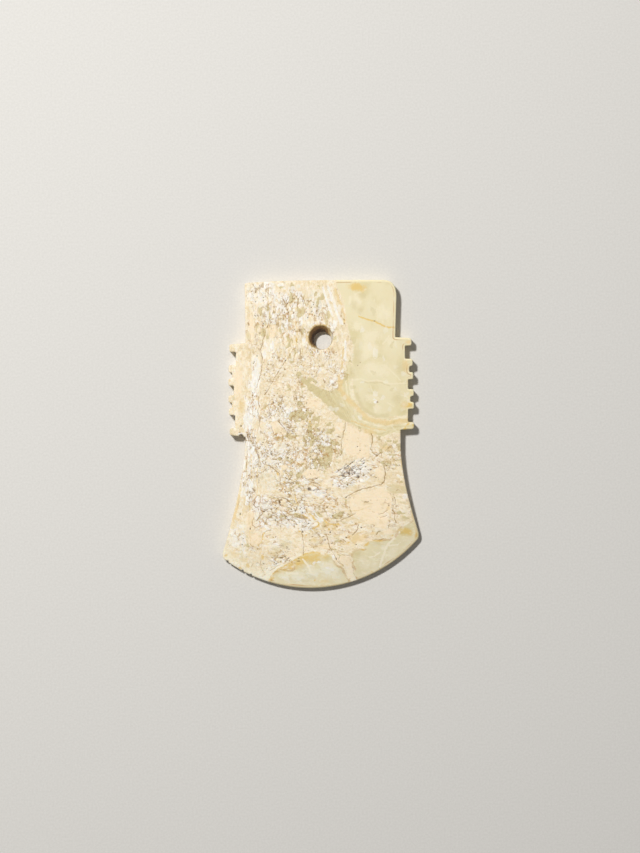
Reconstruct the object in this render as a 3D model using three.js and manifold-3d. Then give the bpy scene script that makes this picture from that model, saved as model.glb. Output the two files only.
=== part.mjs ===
// A ceremonial axe head ground from one slab of jade, with notched side flanges, a flared
// convex cutting edge and one hole drilled from both faces. It is one solid piece.
// Millimetres. It lies on one face: +Z is up, the butt is towards +Y and the cutting edge
// towards -Y. The origin is under the middle of its bounding box.
import * as THREE from "three";
import { mergeVertices } from "three/addons/utils/BufferGeometryUtils.js";
import Module from "manifold-3d";

// Driving dimensions.
const THICKNESS = 5.6;
const MIDDLE = THICKNESS / 2;
const ARRIS = 0.5; // how far the long edges are rounded off
const ARRIS_STEPS = 2;

// The cutting edge is one arc, and both faces fall to it in a ground bevel.
const EDGE = { x: -4.06, y: -4.37, radius: 55.6, from: 233.8, to: 317.8 };
const EDGE_STEPS = 44;
const EDGE_THICKNESS = 1.0;
const BEVEL_WIDTH = 14;
const BEVEL_STEPS = 6;
const DISC_SIDES = 144;

// The hole narrows from a mouth in each face to a neck halfway through.
const NECK = { x: 0.7, y: 36.45, radius: 3.42 };
const MOUTH_RADIUS = 4.9;
const MOUTH_SHIFT = { x: -0.7, y: 1.2 }; // of the upper mouth from the neck; the lower one is opposite
const HOLE_SIDES = 40;

// Six teeth on each flange: where each begins and ends below the flange's top.
const TEETH = [
  [0, 2.9],
  [8.0, 10.9],
  [13.2, 16.0],
  [19.8, 22.6],
  [24.8, 27.5],
  [32.6, 35.3],
];
const NOTCH_DEPTHS = [2.75, 1.45, 2.1, 1.35, 2.3]; // between one tooth and the next
const TIP_ROUNDING = 0.8;
const NOTCH_ROUNDING = 0.4;
const TIP_STEPS = 4;
const NOTCH_STEPS = 2;

// Each flange leaves the side at its roots, and its teeth reach out along a slight bow.
const RIGHT_FLANGE = { side: 1, top: 37.3, reach: [35.2, 36.4, 36.3], roots: [29.0, 31.1], slope: 0.4 };
const LEFT_FLANGE = { side: -1, top: 34.8, reach: [35.5, 36.4, 35.3], roots: [29.25, 29.25], slope: 0.6 };

// Small losses: a nick beside the lowest left tooth, and three along the worn left end of
// the cutting edge, placed by their angles on its arc.
const ROOT_NICK = { x: -30.9, y: -0.95, radius: 0.9 };
const EDGE_NICKS = [234.6, 241.7, 245.4];
const EDGE_NICK_RADIUS = 0.45;

const at = (x, y) => new THREE.Vector2(x, y);

// The points of a bend from one point to another.
const bend = (from, control, to, steps) =>
  new THREE.QuadraticBezierCurve(from, control, to).getPoints(steps);

// A rounded corner between two straight stretches.
function corner(before, point, after, size, steps) {
  const from = point.clone().add(before.clone().sub(point).setLength(size));
  const to = point.clone().add(after.clone().sub(point).setLength(size));
  return bend(from, point, to, steps);
}

// How far the teeth reach from the middle at a distance below the flange's top.
function reachAt({ reach: [top, middle, bottom] }, down) {
  const t = down / TEETH.at(-1)[1];
  return top * (1 - t) ** 2 + 2 * middle * t * (1 - t) + bottom * t ** 2;
}

// A flange's outline from its upper root to its lower one.
function flange(plan) {
  const place = (reach, down) => at(plan.side * reach, plan.top - down);
  const knees = [place(plan.roots[0], -plan.slope)];
  const rounding = [NOTCH_ROUNDING];
  TEETH.forEach(([start, end], i) => {
    const tip = reachAt(plan, (start + end) / 2);
    knees.push(place(tip, start), place(tip, end));
    rounding.push(TIP_ROUNDING, TIP_ROUNDING);
    if (i < NOTCH_DEPTHS.length) {
      const next = TEETH[i + 1][0];
      const floor = reachAt(plan, (end + next) / 2) - NOTCH_DEPTHS[i];
      knees.push(place(floor, end), place(floor, next));
      rounding.push(NOTCH_ROUNDING, NOTCH_ROUNDING);
    }
  });
  knees.push(place(plan.roots[1], TEETH.at(-1)[1] + plan.slope));
  const points = [knees[0]];
  for (let i = 1; i < knees.length - 1; i++) {
    const steps = rounding[i] === TIP_ROUNDING ? TIP_STEPS : NOTCH_STEPS;
    points.push(...corner(knees[i - 1], knees[i], knees[i + 1], rounding[i], steps));
  }
  points.push(knees.at(-1));
  return points;
}

// The cutting edge's arc, from the left horn to the right one.
function cuttingEdge() {
  const { x, y, radius, from, to } = EDGE;
  const turn = THREE.MathUtils.degToRad;
  return new THREE.EllipseCurve(x, y, radius, radius, turn(from), turn(to)).getPoints(EDGE_STEPS);
}

// The whole outline, anticlockwise from the right end of the butt.
function outline() {
  const edge = cuttingEdge();
  const leftFlareEnd = at(-37.85, -45.4);
  const rightFlareEnd = at(37.75, -37.2);
  const butt = bend(at(24.5, 59.95), at(0, 60.1), at(-19, 59.4), 4);
  const leftCorner = corner(at(-19, 59.4), at(-29.6, 58.75), at(-29.25, 36), 0.9, 3);
  const leftFlare = bend(at(-29.25, -2.9), at(-30.2, -20), leftFlareEnd, 12);
  const leftHorn = bend(leftFlareEnd, at(-38.9, -48.1), edge[0], 4);
  const rightHorn = bend(edge.at(-1), at(39.0, -40.2), rightFlareEnd, 4);
  const rightFlare = bend(rightFlareEnd, at(31.7, -18.5), at(31.1, -5.5), 12);
  const rightCorner = new THREE.CubicBezierCurve(
    at(29.45, 53.6),
    at(29.4, 57),
    at(28.4, 59.9),
    at(24.5, 59.95),
  ).getPoints(7);
  const stretches = [
    butt,
    leftCorner,
    flange(LEFT_FLANGE),
    leftFlare,
    leftHorn,
    edge,
    rightHorn,
    rightFlare,
    flange(RIGHT_FLANGE).reverse(),
    rightCorner,
  ];
  const all = stretches.flat();
  return all.filter((p, i) => p.distanceTo(all[(i + 1) % all.length]) > 1e-3);
}

const wasm = await Module();
wasm.setup();

// A closed three.js geometry as a manifold-3d solid.
function solid(geometry) {
  const bare = new THREE.BufferGeometry();
  bare.setAttribute("position", geometry.getAttribute("position"));
  if (geometry.index) bare.setIndex(geometry.index);
  const merged = mergeVertices(bare, 1e-4);
  return new wasm.Manifold(
    new wasm.Mesh({
      numProp: 3,
      vertProperties: new Float32Array(merged.attributes.position.array),
      triVerts: new Uint32Array(merged.index.array),
    }),
  );
}

// A manifold-3d solid as a three.js geometry with flat faces.
function geometryOf(made) {
  const { numProp, vertProperties, triVerts } = made.getMesh();
  const places = [...triVerts].flatMap((v) => [
    ...vertProperties.subarray(v * numProp, v * numProp + 3),
  ]);
  const geometry = new THREE.BufferGeometry();
  geometry.setAttribute("position", new THREE.Float32BufferAttribute(places, 3));
  geometry.computeVertexNormals();
  return geometry;
}

// A profile of (radius, height) points turned about a vertical axis.
function turned(profile, sides) {
  const points = profile.map(([radius, height]) => at(radius, height));
  return new THREE.LatheGeometry(points, sides).rotateX(Math.PI / 2);
}

// The slab, with its long edges rounded.
function slab() {
  return solid(
    new THREE.ExtrudeGeometry(new THREE.Shape(outline()), {
      depth: THICKNESS - 2 * ARRIS,
      bevelEnabled: true,
      bevelThickness: ARRIS,
      bevelSize: ARRIS,
      bevelOffset: -ARRIS,
      bevelSegments: ARRIS_STEPS,
    }).translate(0, 0, ARRIS),
  );
}

// Half the thickness at a distance inside the cutting edge's arc.
function halfThickness(inside) {
  const swell = Math.sin((Math.PI / 2) * Math.min(1, inside / BEVEL_WIDTH));
  return (EDGE_THICKNESS + (THICKNESS - EDGE_THICKNESS) * swell) / 2;
}

// What the bevels leave: a lens round the arc's centre, and all of the upper half.
function groundShape() {
  const margin = 1; // the cutters stand past the slab's faces and sides
  const steps = Array.from({ length: BEVEL_STEPS + 1 }, (_, i) => (i / BEVEL_STEPS) * BEVEL_WIDTH);
  const rim = steps.map((inside) => [EDGE.radius - inside, halfThickness(inside)]);
  const outer = EDGE.radius + margin;
  const upper = [[outer, EDGE_THICKNESS / 2], ...rim];
  const flat = MIDDLE + margin;
  const shoulder = EDGE.radius - BEVEL_WIDTH;
  upper.push([shoulder, flat], [0, flat]);
  const lower = upper.map(([radius, height]) => [radius, -height]).reverse();
  const lens = turned([...lower, ...upper], DISC_SIDES).translate(EDGE.x, EDGE.y, MIDDLE);
  const length = 80;
  const half = new THREE.BoxGeometry(100, length, THICKNESS + 2 * margin);
  half.translate(0, EDGE.y + length / 2, MIDDLE);
  return solid(lens).add(solid(half));
}

// The hole: two cones that meet at the neck, and lean a little as they were drilled.
function drilling() {
  const end = MIDDLE + 1; // the cones run on beyond the faces
  const wide = NECK.radius + ((MOUTH_RADIUS - NECK.radius) * end) / MIDDLE;
  const profile = [
    [0, -end],
    [wide, -end],
    [NECK.radius, 0],
    [wide, end],
    [0, end],
  ];
  const lean = [MOUTH_SHIFT.x / MIDDLE, MOUTH_SHIFT.y / MIDDLE];
  const cones = turned(profile, HOLE_SIDES);
  cones.applyMatrix4(new THREE.Matrix4().makeShear(0, 0, 0, 0, ...lean));
  return solid(cones.translate(NECK.x, NECK.y, MIDDLE));
}

// A nick through the rim: a ball stretched upright.
function nick(x, y, radius) {
  const ball = new THREE.SphereGeometry(radius, 10, 8).scale(1, 1, THICKNESS / radius);
  return solid(ball.translate(x, y, MIDDLE));
}

// Every nick in the rim.
function nicks() {
  const alongEdge = EDGE_NICKS.map((degrees) => {
    const turn = THREE.MathUtils.degToRad(degrees);
    const x = EDGE.x + EDGE.radius * Math.cos(turn);
    const y = EDGE.y + EDGE.radius * Math.sin(turn);
    return nick(x, y, EDGE_NICK_RADIUS);
  });
  return [nick(ROOT_NICK.x, ROOT_NICK.y, ROOT_NICK.radius), ...alongEdge];
}

const ground = slab().intersect(groundShape()).subtract(drilling());
const axeHead = nicks().reduce((left, cut) => left.subtract(cut), ground);

const jade = new THREE.MeshStandardMaterial({ color: 0xe9dcbc, roughness: 0.45, metalness: 0 });
const mesh = new THREE.Mesh(geometryOf(axeHead), jade);
mesh.name = "axe_head";

const part = new THREE.Group();
part.name = "jade_axe_head";
part.add(mesh);

export default part;
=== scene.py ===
"""A notched jade axe head lying on one face: its carved skin, its colours and its studio.

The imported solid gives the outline, the hole and the thickness. One dense mesh is laid over
that form, and cracks, pits and the weathered crust are carved down into it. Each of its points
carries fields, such as how far inside the clear jade it is or how ochre it is, and the material
turns them into colours. Plan sizes are in millimetres, as seen from above.
"""

import math

import bmesh
import bpy
import numpy as np
from mathutils.geometry import delaunay_2d_cdt
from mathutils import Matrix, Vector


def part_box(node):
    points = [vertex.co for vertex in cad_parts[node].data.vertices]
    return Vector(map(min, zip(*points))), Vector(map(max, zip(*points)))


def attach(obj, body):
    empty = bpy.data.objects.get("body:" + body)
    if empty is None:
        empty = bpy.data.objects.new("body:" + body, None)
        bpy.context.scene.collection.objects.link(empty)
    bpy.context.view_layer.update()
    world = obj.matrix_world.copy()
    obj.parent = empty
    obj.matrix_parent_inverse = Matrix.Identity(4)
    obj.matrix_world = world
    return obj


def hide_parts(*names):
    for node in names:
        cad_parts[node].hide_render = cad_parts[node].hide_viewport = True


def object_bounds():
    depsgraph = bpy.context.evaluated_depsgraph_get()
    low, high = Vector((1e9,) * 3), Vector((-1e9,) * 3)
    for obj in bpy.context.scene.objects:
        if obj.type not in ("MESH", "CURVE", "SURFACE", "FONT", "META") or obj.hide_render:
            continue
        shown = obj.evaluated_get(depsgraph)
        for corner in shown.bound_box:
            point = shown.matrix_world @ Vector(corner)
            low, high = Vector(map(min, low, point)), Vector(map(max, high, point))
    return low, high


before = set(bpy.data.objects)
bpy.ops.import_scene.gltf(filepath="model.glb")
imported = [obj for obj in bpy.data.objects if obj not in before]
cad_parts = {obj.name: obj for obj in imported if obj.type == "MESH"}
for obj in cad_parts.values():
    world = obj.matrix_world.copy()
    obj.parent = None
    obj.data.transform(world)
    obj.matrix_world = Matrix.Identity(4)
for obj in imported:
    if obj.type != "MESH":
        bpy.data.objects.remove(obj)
cad_low, cad_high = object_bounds()

MM = 0.001
PIECE = "axe_head"

# The form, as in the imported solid.
EDGE_THICKNESS = 1.0
BEVEL_WIDTH = 14.0
ARRIS = 0.5
MOUTH_ARRIS = 0.45

# The mesh.
UPPER_SPACING = 0.38
LOWER_SPACING = 0.8
RIM_SPACING = 0.36
RIM_RINGS = (0.07, 0.25, 0.5)
WALL_ROWS = 8
HOLE_SIDES = 96
HOLE_ROWS = 9
DETAIL_SPACING = 0.13  # of the squares that hold one point each, along cracks and at pits
DETAIL_MARGIN = 0.15  # from them to the other points

# How deep the relief is carved into the faces, and how far from an edge it is whole.
CRUST_DEPTH = 0.14
SWELL_DEPTH = 0.06
CRACK_DEPTH = 0.08
PIT_DEPTH = 0.24
BROWN_DEPTH = 0.07
CHALK_RISE = 0.03
RELIEF_MARGIN = 0.7
HOLLOW = 0.03  # the unevenness of the side wall and the grooves in the hole

# Where the clear, unaltered jade shows: the bowl at the upper right and the two bays along
# the cutting edge. Each outline runs on past the rim.
CLEAR_BOWL = [
    (5.8, 62), (6, 58.5), (8, 54), (9, 50), (9.7, 46.5), (10.5, 42), (11.5, 38), (13, 34), (12, 28),
    (12.5, 20), (13, 15), (15, 11.5), (17.5, 8.5), (22, 6), (26, 6.3), (31, 7.2), (42, 6.5), (42, 62),
]
CLEAR_EDGE_BAY = [
    (-20.3, -58), (-19.8, -57), (-19, -55.5), (-18.3, -54.2), (-17.4, -53), (-16, -52.7),
    (-13.8, -52.4), (-12, -52.9), (-10.6, -52.6), (-10.2, -50.5), (-10, -48.3), (-8.5, -47.6),
    (-7, -47.2), (-5.9, -46.6), (-4.4, -46.3), (-2.2, -45.8), (-1, -46), (0, -46.7), (0.4, -47.6),
    (1.1, -47), (2.3, -46.6), (3.5, -46.6), (4.2, -47.4), (4.6, -48.8), (5.4, -50), (7.2, -51.3),
    (8.9, -52.4), (9.4, -53.8), (10.2, -55.2), (11.2, -56.5), (12.6, -62), (-20, -62),
]
CLEAR_HORN_BAY = [
    (12.2, -46.2), (13, -45), (15, -44.5), (17, -44.6), (17.4, -43), (18.5, -42), (20, -41.3),
    (23, -41), (25, -40.8), (27, -41), (28.5, -40), (29.5, -38.5), (29.8, -37.2), (31, -36.3),
    (33, -35.4), (36, -33.5), (41, -32.5), (43, -44), (36, -58), (14.6, -58), (13.4, -55.2),
    (12.6, -54), (13.1, -52.2), (12, -50), (12.5, -48.6), (11.9, -47.4),
]

# Marks on the upper face, by kind: (x, y, half length, half width, turn in degrees), where
# round ones stop after their radius.
CHALK = [
    (-22.7, 54.2, 2.3, 2), (-18, 53.8, 1, 1.3), (-21.4, -56, 0.8, 1.8, -35),
    (-19, -53.5, 0.6, 1.6, -40), (-27.2, 53.5, 1.3), (-25.5, 57, 1, 1.3), (-20, 58.6, 2.2, 0.5),
    (-13.5, 53, 0.9), (-16, 58, 1.1, 0.6), (-10.8, 56.3, 1.2), (-8.2, 54.4, 1.3, 1),
    (-9, 57.5, 0.8, 0.6), (-3.8, 42.8, 1.5, 1), (-29, 6.3, 0.9), (-28.3, 4.5, 1.2, 1),
    (-30.6, 0.1, 1.2, 0.4), (2, -2.8, 1.8, 1.5), (-0.8, -22, 2.2, 1.4), (10, -15, 3.6, 2.2, 20),
    (15.5, -13.6, 3, 3.4, 20), (30.4, -16.3, 0.6), (21.2, 12.8, 0.7), (-31, -36, 1.2, 0.7),
    (-33.2, -40.6, 1.7, 3.4, 12), (-23.5, -26, 1.2, 1), (-15, -33.3, 2.6, 2), (-7.2, -28.8, 1.2, 1.9),
    (-6, -34.8, 3.6, 1.9, -8), (-20.2, -54.3, 0.9, 1), (-20.4, -52.5, 1, 0.8),
    (-34.5, -50.3, 0.8, 0.3, -35), (-32.4, -51, 0.8, 0.5, -35), (-27, -54.3, 1.1, 0.4, -30),
    (-23.4, -56.2, 1.1, 0.4, -25), (-2.7, -50.2, 1, 0.5, 30), (-1, -49.6, 0.5, 0.3),
    (4.9, -47.8, 0.4, 0.6), (-25.5, 12, 1.2, 0.9), (-13, 8.5, 1.5, 1.8), (-6.5, 36, 0.7, 1.6),
    (-22, 31, 0.8, 1.6), (3, -52, 0.9, 0.5), (4.6, -52.6, 0.5),
]
PINK_CREAM = [
    (-26, -41, 3, 3), (-27.5, -34, 1.8, 4), (-27, 41, 1.2, 6), (19, -41, 1.6, 0.8), (26, -38, 2.6, 1.3),
    (-14.3, -12.8, 1.3, 1), (-14.5, -26, 1), (8.8, -48, 2, 1.2), (-3, 12, 3.5, 2.5), (-19, 40, 1.8, 3),
    (2, -43.8, 3, 1), (15, -41, 3, 2), (22.5, -35, 2.2, 1.4), (23, -15, 2, 2.5), (-32, 20, 1.8, 9),
    (20, -28, 3, 2), (6.6, -48.6, 2.4, 1.3, -30), (9.6, -49.6, 2.8, 1.9, -30),
    (11.2, -53, 1.4, 3.4, 12),
]
PEACH = [
    (-30.8, 11, 1.1, 2.6), (20, -38.5, 1.3, 0.8), (17, -39.6, 1.6, 0.9), (13, -41.5, 1.6, 1.2),
    (-33.2, -46.5, 2.8, 1.8), (-30, -49, 1.8, 1), (34.2, 35.7, 1, 0.7), (35.8, 16, 0.6, 1),
    (25.6, -5.4, 2.6, 1.4, -10), (26.4, -28.6, 0.8), (-13.3, -50.3, 1.6, 0.7, 25),
    (8.5, -51, 1.1, 0.5, -35), (31.4, -11, 0.5, 2), (-34, -33, 0.6, 2.5, 80), (19, 0.9, 3, 1, -15),
    (-23.6, -45.3, 1.2, 1.4), (-19, -46, 2, 1.2), (1.5, -57.3, 2.6, 1), (-2.3, -41.2, 1.6, 1.2),
    (0.1, -41, 0.9, 0.8), (2.4, -34.9, 2.2, 1, -25), (5.4, -36.3, 1.6, 1.2, 20), (14, -40.4, 3, 1.4),
    (8, -41.8, 1.4, 0.6, -15), (10.6, -40.2, 1.2, 0.8, -20), (32.8, 26.5, 1.5, 2.6),
    (33.5, 11, 2.4, 1.6),
]
OCHRE = [
    (2.5, 41.8, 2, 0.8, -10), (-5.5, 37.5, 0.5, 2), (14, 57.1, 3.6, 1.8, -12), (34.5, 11.3, 1.5, 1.1),
    (34.3, 21, 0.5), (33.8, 20.5, 0.4), (32.7, 2, 0.7, 0.4), (35.8, 3.5, 0.4), (-7.5, 12.2, 0.5),
    (-4, 3.2, 1, 0.9), (-4.2, 4.8, 0.6), (-13.7, -18.8, 0.8, 0.6), (-8.5, -37.7, 0.6),
    (-10.3, -32.3, 0.7, 0.5), (5.5, -28.4, 0.7, 0.3), (3.2, -37, 0.4, 0.7), (-5.9, -39.5, 0.4),
    (10.7, -42.3, 0.8, 0.4), (33.2, -37.9, 3.2, 1.6, -4), (-37.1, -47.4, 0.5, 0.9, -60),
    (-31.5, -51.8, 1.5, 0.5, -30), (-28.5, -51.2, 0.9, 1.2), (-19.2, -56.4, 0.9, 1.2, -30),
    (-14.6, -52.6, 2, 0.35), (-8.8, -50.5, 1.4, 1), (-6.5, -48.2, 3, 1, 10), (-11.5, -51, 2, 0.8, 25),
    (18, -42.8, 1.2, 0.7, 25), (22.3, -41.5, 2.6, 0.45), (37.2, -39.4, 0.6, 1.4, -10),
    (27.8, -39.4, 0.7, 0.4, 40), (16.3, -44.8, 0.9, 0.35), (-12, -52.3, 1.2, 0.6),
    (20, -53.9, 0.8, 0.4), (-2.3, -56.8, 0.4, 0.6), (-22.5, -47.8, 0.7, 1.2), (9.2, 44, 0.5, 1),
    (-16.6, -15.5, 0.5, 0.9), (-9.3, 36.5, 0.4, 0.9),
]
OLIVE = [
    (-22.4, 39.6, 0.8, 1.4), (-20.5, 49, 0.9, 1.4), (-19.8, 46, 0.5, 1), (-14.9, 40.7, 0.8),
    (-13.7, 43.5, 0.8), (-23.5, 47.8, 0.5, 1.2), (-1.2, 51.3, 0.6, 1.6, -20),
    (-1.8, 54.5, 0.6, 1.2, -20), (3, 46.5, 0.4, 1.2), (5.4, 37.6, 0.6, 1.2, -30),
    (-11.4, 30.8, 1.1, 1.9), (-8.5, 22.8, 0.8), (-6.5, 20.5, 1.2, 0.6), (-4.3, 21, 1.2, 0.9),
    (-3.5, 17.6, 1, 0.8), (-0.8, 16.2, 0.8, 0.6), (11.5, 28, 0.7, 1.3), (11.8, 24, 0.7, 1.6),
    (9.4, 22, 0.8, 1.3), (-13.6, -1, 1.5, 0.5, -15), (-6.7, -1.4, 0.5, 0.8), (-11.5, -0.5, 0.8, 0.5),
    (-9.2, -1, 0.8, 0.3), (-0.7, -12.7, 0.5), (2.8, -12.8, 0.35, 0.9, -20), (6.3, -11, 0.6, 0.4),
    (5.5, -12, 0.4), (1.5, -14.5, 0.5), (-9, -12.5, 0.7), (-7, -11.7, 0.7, 0.3, 35), (-9.2, -19, 0.6),
    (-11.3, -20.7, 1, 0.6), (5, -3, 0.9, 0.4), (3.8, -2.5, 0.4), (5.8, -6.3, 0.7, 1), (8.5, -6.2, 0.4),
    (14.5, 2, 0.8), (22.5, -1.5, 1, 0.6), (26.5, -8, 1, 0.4), (28.4, -8, 0.9, 0.25),
    (26.5, -2.7, 0.8, 0.4), (28.5, -3, 0.6, 0.35), (26.7, -11.3, 1, 0.7), (24.2, -11.5, 0.6),
    (31.5, -18.5, 0.5), (-17.1, -20.2, 0.4), (-28.7, -41.4, 0.45, 1.4), (-28.6, -43, 0.7, 1),
    (4.8, -31.8, 0.5), (5.8, -32.3, 0.5), (4, -33.3, 0.4), (6.5, -27.5, 0.7, 0.5), (9.8, -26.5, 0.5, 1),
    (8.5, -28.3, 0.5), (-4, -41.3, 0.4), (6.8, -41.6, 1, 0.3), (5.7, -44.9, 0.8, 0.3),
    (7.8, -44.8, 0.6, 0.2), (31.5, -30.8, 1.2, 0.4, -10), (33, -32.5, 1.3, 0.4, -10),
    (22.4, -38.3, 0.9, 0.3, 45), (8.6, -47, 1.6, 0.3, -12), (2.3, 1, 2, 1.4), (3.2, 3.6, 1.6, 1),
    (-12.6, -0.2, 0.35, 1), (-16, -9.5, 0.6), (-15.2, 57, 0.8, 0.5), (-3.4, 31.8, 0.7, 1.1),
]
BROWN = [
    (-15.4, -25.6, 1.1, 0.7), (-28, 42.8, 0.35, 1, 20), (9, 44.5, 0.45), (9.2, 43, 0.4),
    (8, 46, 0.35, 0.6), (-18, 15, 0.6, 0.45), (-19, 13.5, 0.6, 0.4, 40), (-16.7, 17.2, 0.5, 0.35),
    (-16, 17, 0.35), (-16.8, 15.8, 0.4, 0.3), (-14.5, 18, 0.35), (-14.4, 16.2, 0.3),
    (-13.5, 16.7, 0.35), (-9.8, 26.3, 0.35), (-9.9, 24.7, 0.3), (-5.7, 26.3, 0.3), (-7.7, 26.2, 0.35),
    (-6.7, 24.4, 0.3), (-5.5, 24.8, 0.3), (-9, 28, 0.3), (-0.5, 26.3, 0.3), (-0.7, 28.6, 0.35),
    (0, 29, 0.3), (4.4, 28.5, 0.35), (5.5, 26.5, 0.35), (-3.7, 32.6, 0.35), (-9.6, 14.9, 0.25, 1.6),
    (-9.8, 12, 0.4), (-7.2, 14.5, 0.45), (-5.5, 12, 0.25, 1), (-31.5, 0.6, 0.5, 0.3),
    (-23.5, -5, 0.4, 0.6), (-17.8, -8, 0.4), (-6.5, -9.9, 0.5), (7.2, -1.1, 1.2, 0.3, -10),
    (9.8, -8, 0.6, 0.25, 20), (21.9, -8.4, 0.8, 0.5), (20.7, -35.7, 0.7, 0.3), (-25.6, -26.6, 0.4, 0.6),
    (20.8, 43.9, 0.6, 0.4), (26.4, -27.8, 0.45), (-3.2, -39.9, 0.5, 0.3), (-8.5, -48.5, 0.7, 0.4),
    (-8.7, -49.4, 0.8, 0.3), (22.9, -52.3, 0.35, 0.6), (15.4, 27.7, 0.35), (14.3, 26.7, 0.35),
    (22, 12.5, 0.5), (-4, 4.8, 0.4), (1.8, 2.3, 0.3), (4, 0.3, 0.35), (4.7, 1.1, 0.3), (5, -1.2, 0.35),
    (-26.6, -44.4, 0.4), (-18.4, -40.1, 0.35), (-17.5, -40, 0.4), (-12.4, -44.7, 0.4, 0.25),
    (6.3, -35.9, 0.4), (5.6, -37, 0.4), (10, 20, 0.3), (-22.2, 27.8, 0.4), (-20.6, 27.2, 0.35),
    (-19.3, 27, 0.35), (-14, 25.2, 0.5), (1.6, 20.4, 0.25, 0.7, -35),
]
PITS = [
    (-15.9, -26.4, 0.5, 0.9), (-25.3, 51.4, 0.35), (-22.3, 51.8, 0.3), (-22.2, 53.1, 0.3),
    (-23.6, 39.2, 0.4), (-3.7, 49.2, 0.35), (-2.8, 50.3, 0.3), (-3.4, 47.7, 0.35), (-2.3, 46, 0.3),
    (-5, 45.3, 0.35), (-5.6, 47.4, 0.3), (-2.5, 41.5, 0.45), (-3.7, 40.5, 0.4), (-1.7, 41.2, 0.4),
    (-13.6, 28.6, 0.5, 0.3, 45), (-30.9, 3.1, 0.4), (-24.7, 30.3, 0.3), (-25.8, 28, 0.3),
    (-26.2, 27.5, 0.3), (-21.9, -2.3, 0.3), (-22.4, -3.3, 0.3), (-22.8, -4.2, 0.3), (-21.6, -6.2, 0.35),
    (-19.3, -7.6, 0.3, 0.8, 20), (-12.7, -9.3, 0.4), (-10.9, -12.5, 0.35), (-4, -8.8, 0.3),
    (-3, -10, 0.3), (11.5, -11.6, 0.9, 0.35, 35), (10.6, -12.4, 0.5), (9.3, -13.2, 0.8, 0.35, 25),
    (7.8, -13.8, 0.6, 0.3, 20), (6.8, -14.2, 0.35), (8.7, -16.2, 0.8), (11, -15.3, 0.7),
    (9.2, -15.3, 0.35), (12.3, -15.7, 0.35), (13.2, -15.3, 0.4), (-4.4, -21.4, 0.95), (4.8, -19.8, 0.3),
    (15.3, -6.4, 0.3), (14.3, -4.9, 0.3), (19.5, -13.9, 0.4), (21.5, -17, 0.3),
    (16.7, -11.3, 0.8, 0.3, 15), (12.3, -11, 0.4), (17.5, -12.7, 0.5, 0.3, 20), (15.5, -13.7, 0.4),
    (14.6, -16.6, 0.75), (16.9, -16, 0.5, 0.3, 25), (-31.3, -31.2, 0.3, 0.7), (-22, -30.2, 0.5, 0.35),
    (-15.7, -27.6, 0.4), (-17.6, -33.5, 0.3, 0.7), (-27.4, -36.8, 0.3, 0.8),
    (-13.9, -47.7, 0.75, 0.35, -50), (-12.5, -48.3, 0.6, 0.3, 25), (-15.5, -48.2, 0.35),
    (-30.1, -40.7, 0.3), (-30.5, -43, 0.3), (-20.9, -52.4, 0.3), (-22.2, -50.5, 0.5, 0.3, -40),
    (-18, -50.1, 0.35), (-17.3, -50.5, 0.4), (-11.4, -29.2, 0.4), (-9.8, -29.9, 0.5), (-8, -29.1, 0.35),
    (-7, -30.5, 0.4), (-6.3, -28.8, 0.3), (-4.7, -34.8, 0.5, 0.3), (3.7, -38.2, 0.45),
    (1.7, -41.2, 0.45, 0.3), (-7, -38.1, 0.4), (2.5, -28.4, 0.4), (9.8, -24.7, 0.4), (9.9, -40.3, 0.4),
    (15.8, -36.4, 0.45), (13.8, -43, 0.35), (6.1, -48.6, 0.8, 0.35, -55), (-22.3, 43, 0.3),
]
# Darker green and milky shades, mostly in the clear jade, and frosty ones in the left bay.
GREEN = [
    (14, 30, 2.6, 6), (13, 50, 1.8, 2.6), (15.5, 48, 1.5, 2), (14.3, -46.4, 2.4, 1.3),
    (21.8, -42.6, 2.8, 1.2), (26, -44.8, 0.8, 1.6), (32.5, 8.7, 2, 1), (30, 3, 2, 1.2),
    (2.5, -48, 1.8, 1), (30, 14, 2.5, 3), (8, -53.5, 1.8, 3, -20), (13.5, 28.5, 1.5, 3),
    (31, 26, 2.5, 3), (16, 54, 2, 1.5), (24, -50, 3, 1.2, 40), (12, 24, 1.6, 4),
    (31.5, -26.5, 2.4, 0.6, -8), (33, -33, 2.4, 0.6, -10), (31, -24.6, 2, 0.5, -6), (-14, -43, 2.4, 2),
    (-17, -45.4, 2.6, 1.8),
]
MILK = [
    (3, -51.5, 3, 2), (-3, -53, 3, 1.6), (-9, -54.5, 4, 1.4), (6, -54.5, 2, 1.5), (-14, -54.5, 2, 1.2),
    (16, -49, 2.5, 1.5, 30), (21, -50.5, 2, 2, 40), (28, -46, 2.5, 2, 40), (20, 38, 4, 3),
    (19, 33, 4, 3.5), (16, 30, 2.5, 2), (24, 25, 3, 3), (20, 14, 3, 2), (22, 10, 1.5, 2, 60),
    (24, 47, 3, 4), (14, 52, 2, 2.5), (27, 36, 1.2, 2), (14, 42, 2.5, 2), (20, 25.5, 3.6, 3),
    (26, -39, 2, 1), (17.5, -50.5, 3.4, 2.2, 35), (25.2, -48.2, 2, 2.4, -25),
]
FROST = [
    (-14.5, -55.3, 2.4, 1.4, -15), (-9, -55.5, 3.4, 2, -8), (-3.5, -54, 3.6, 2.6), (2.5, -52.6, 3.2, 3),
    (6.5, -54.5, 2.4, 2.6),
]

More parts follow.
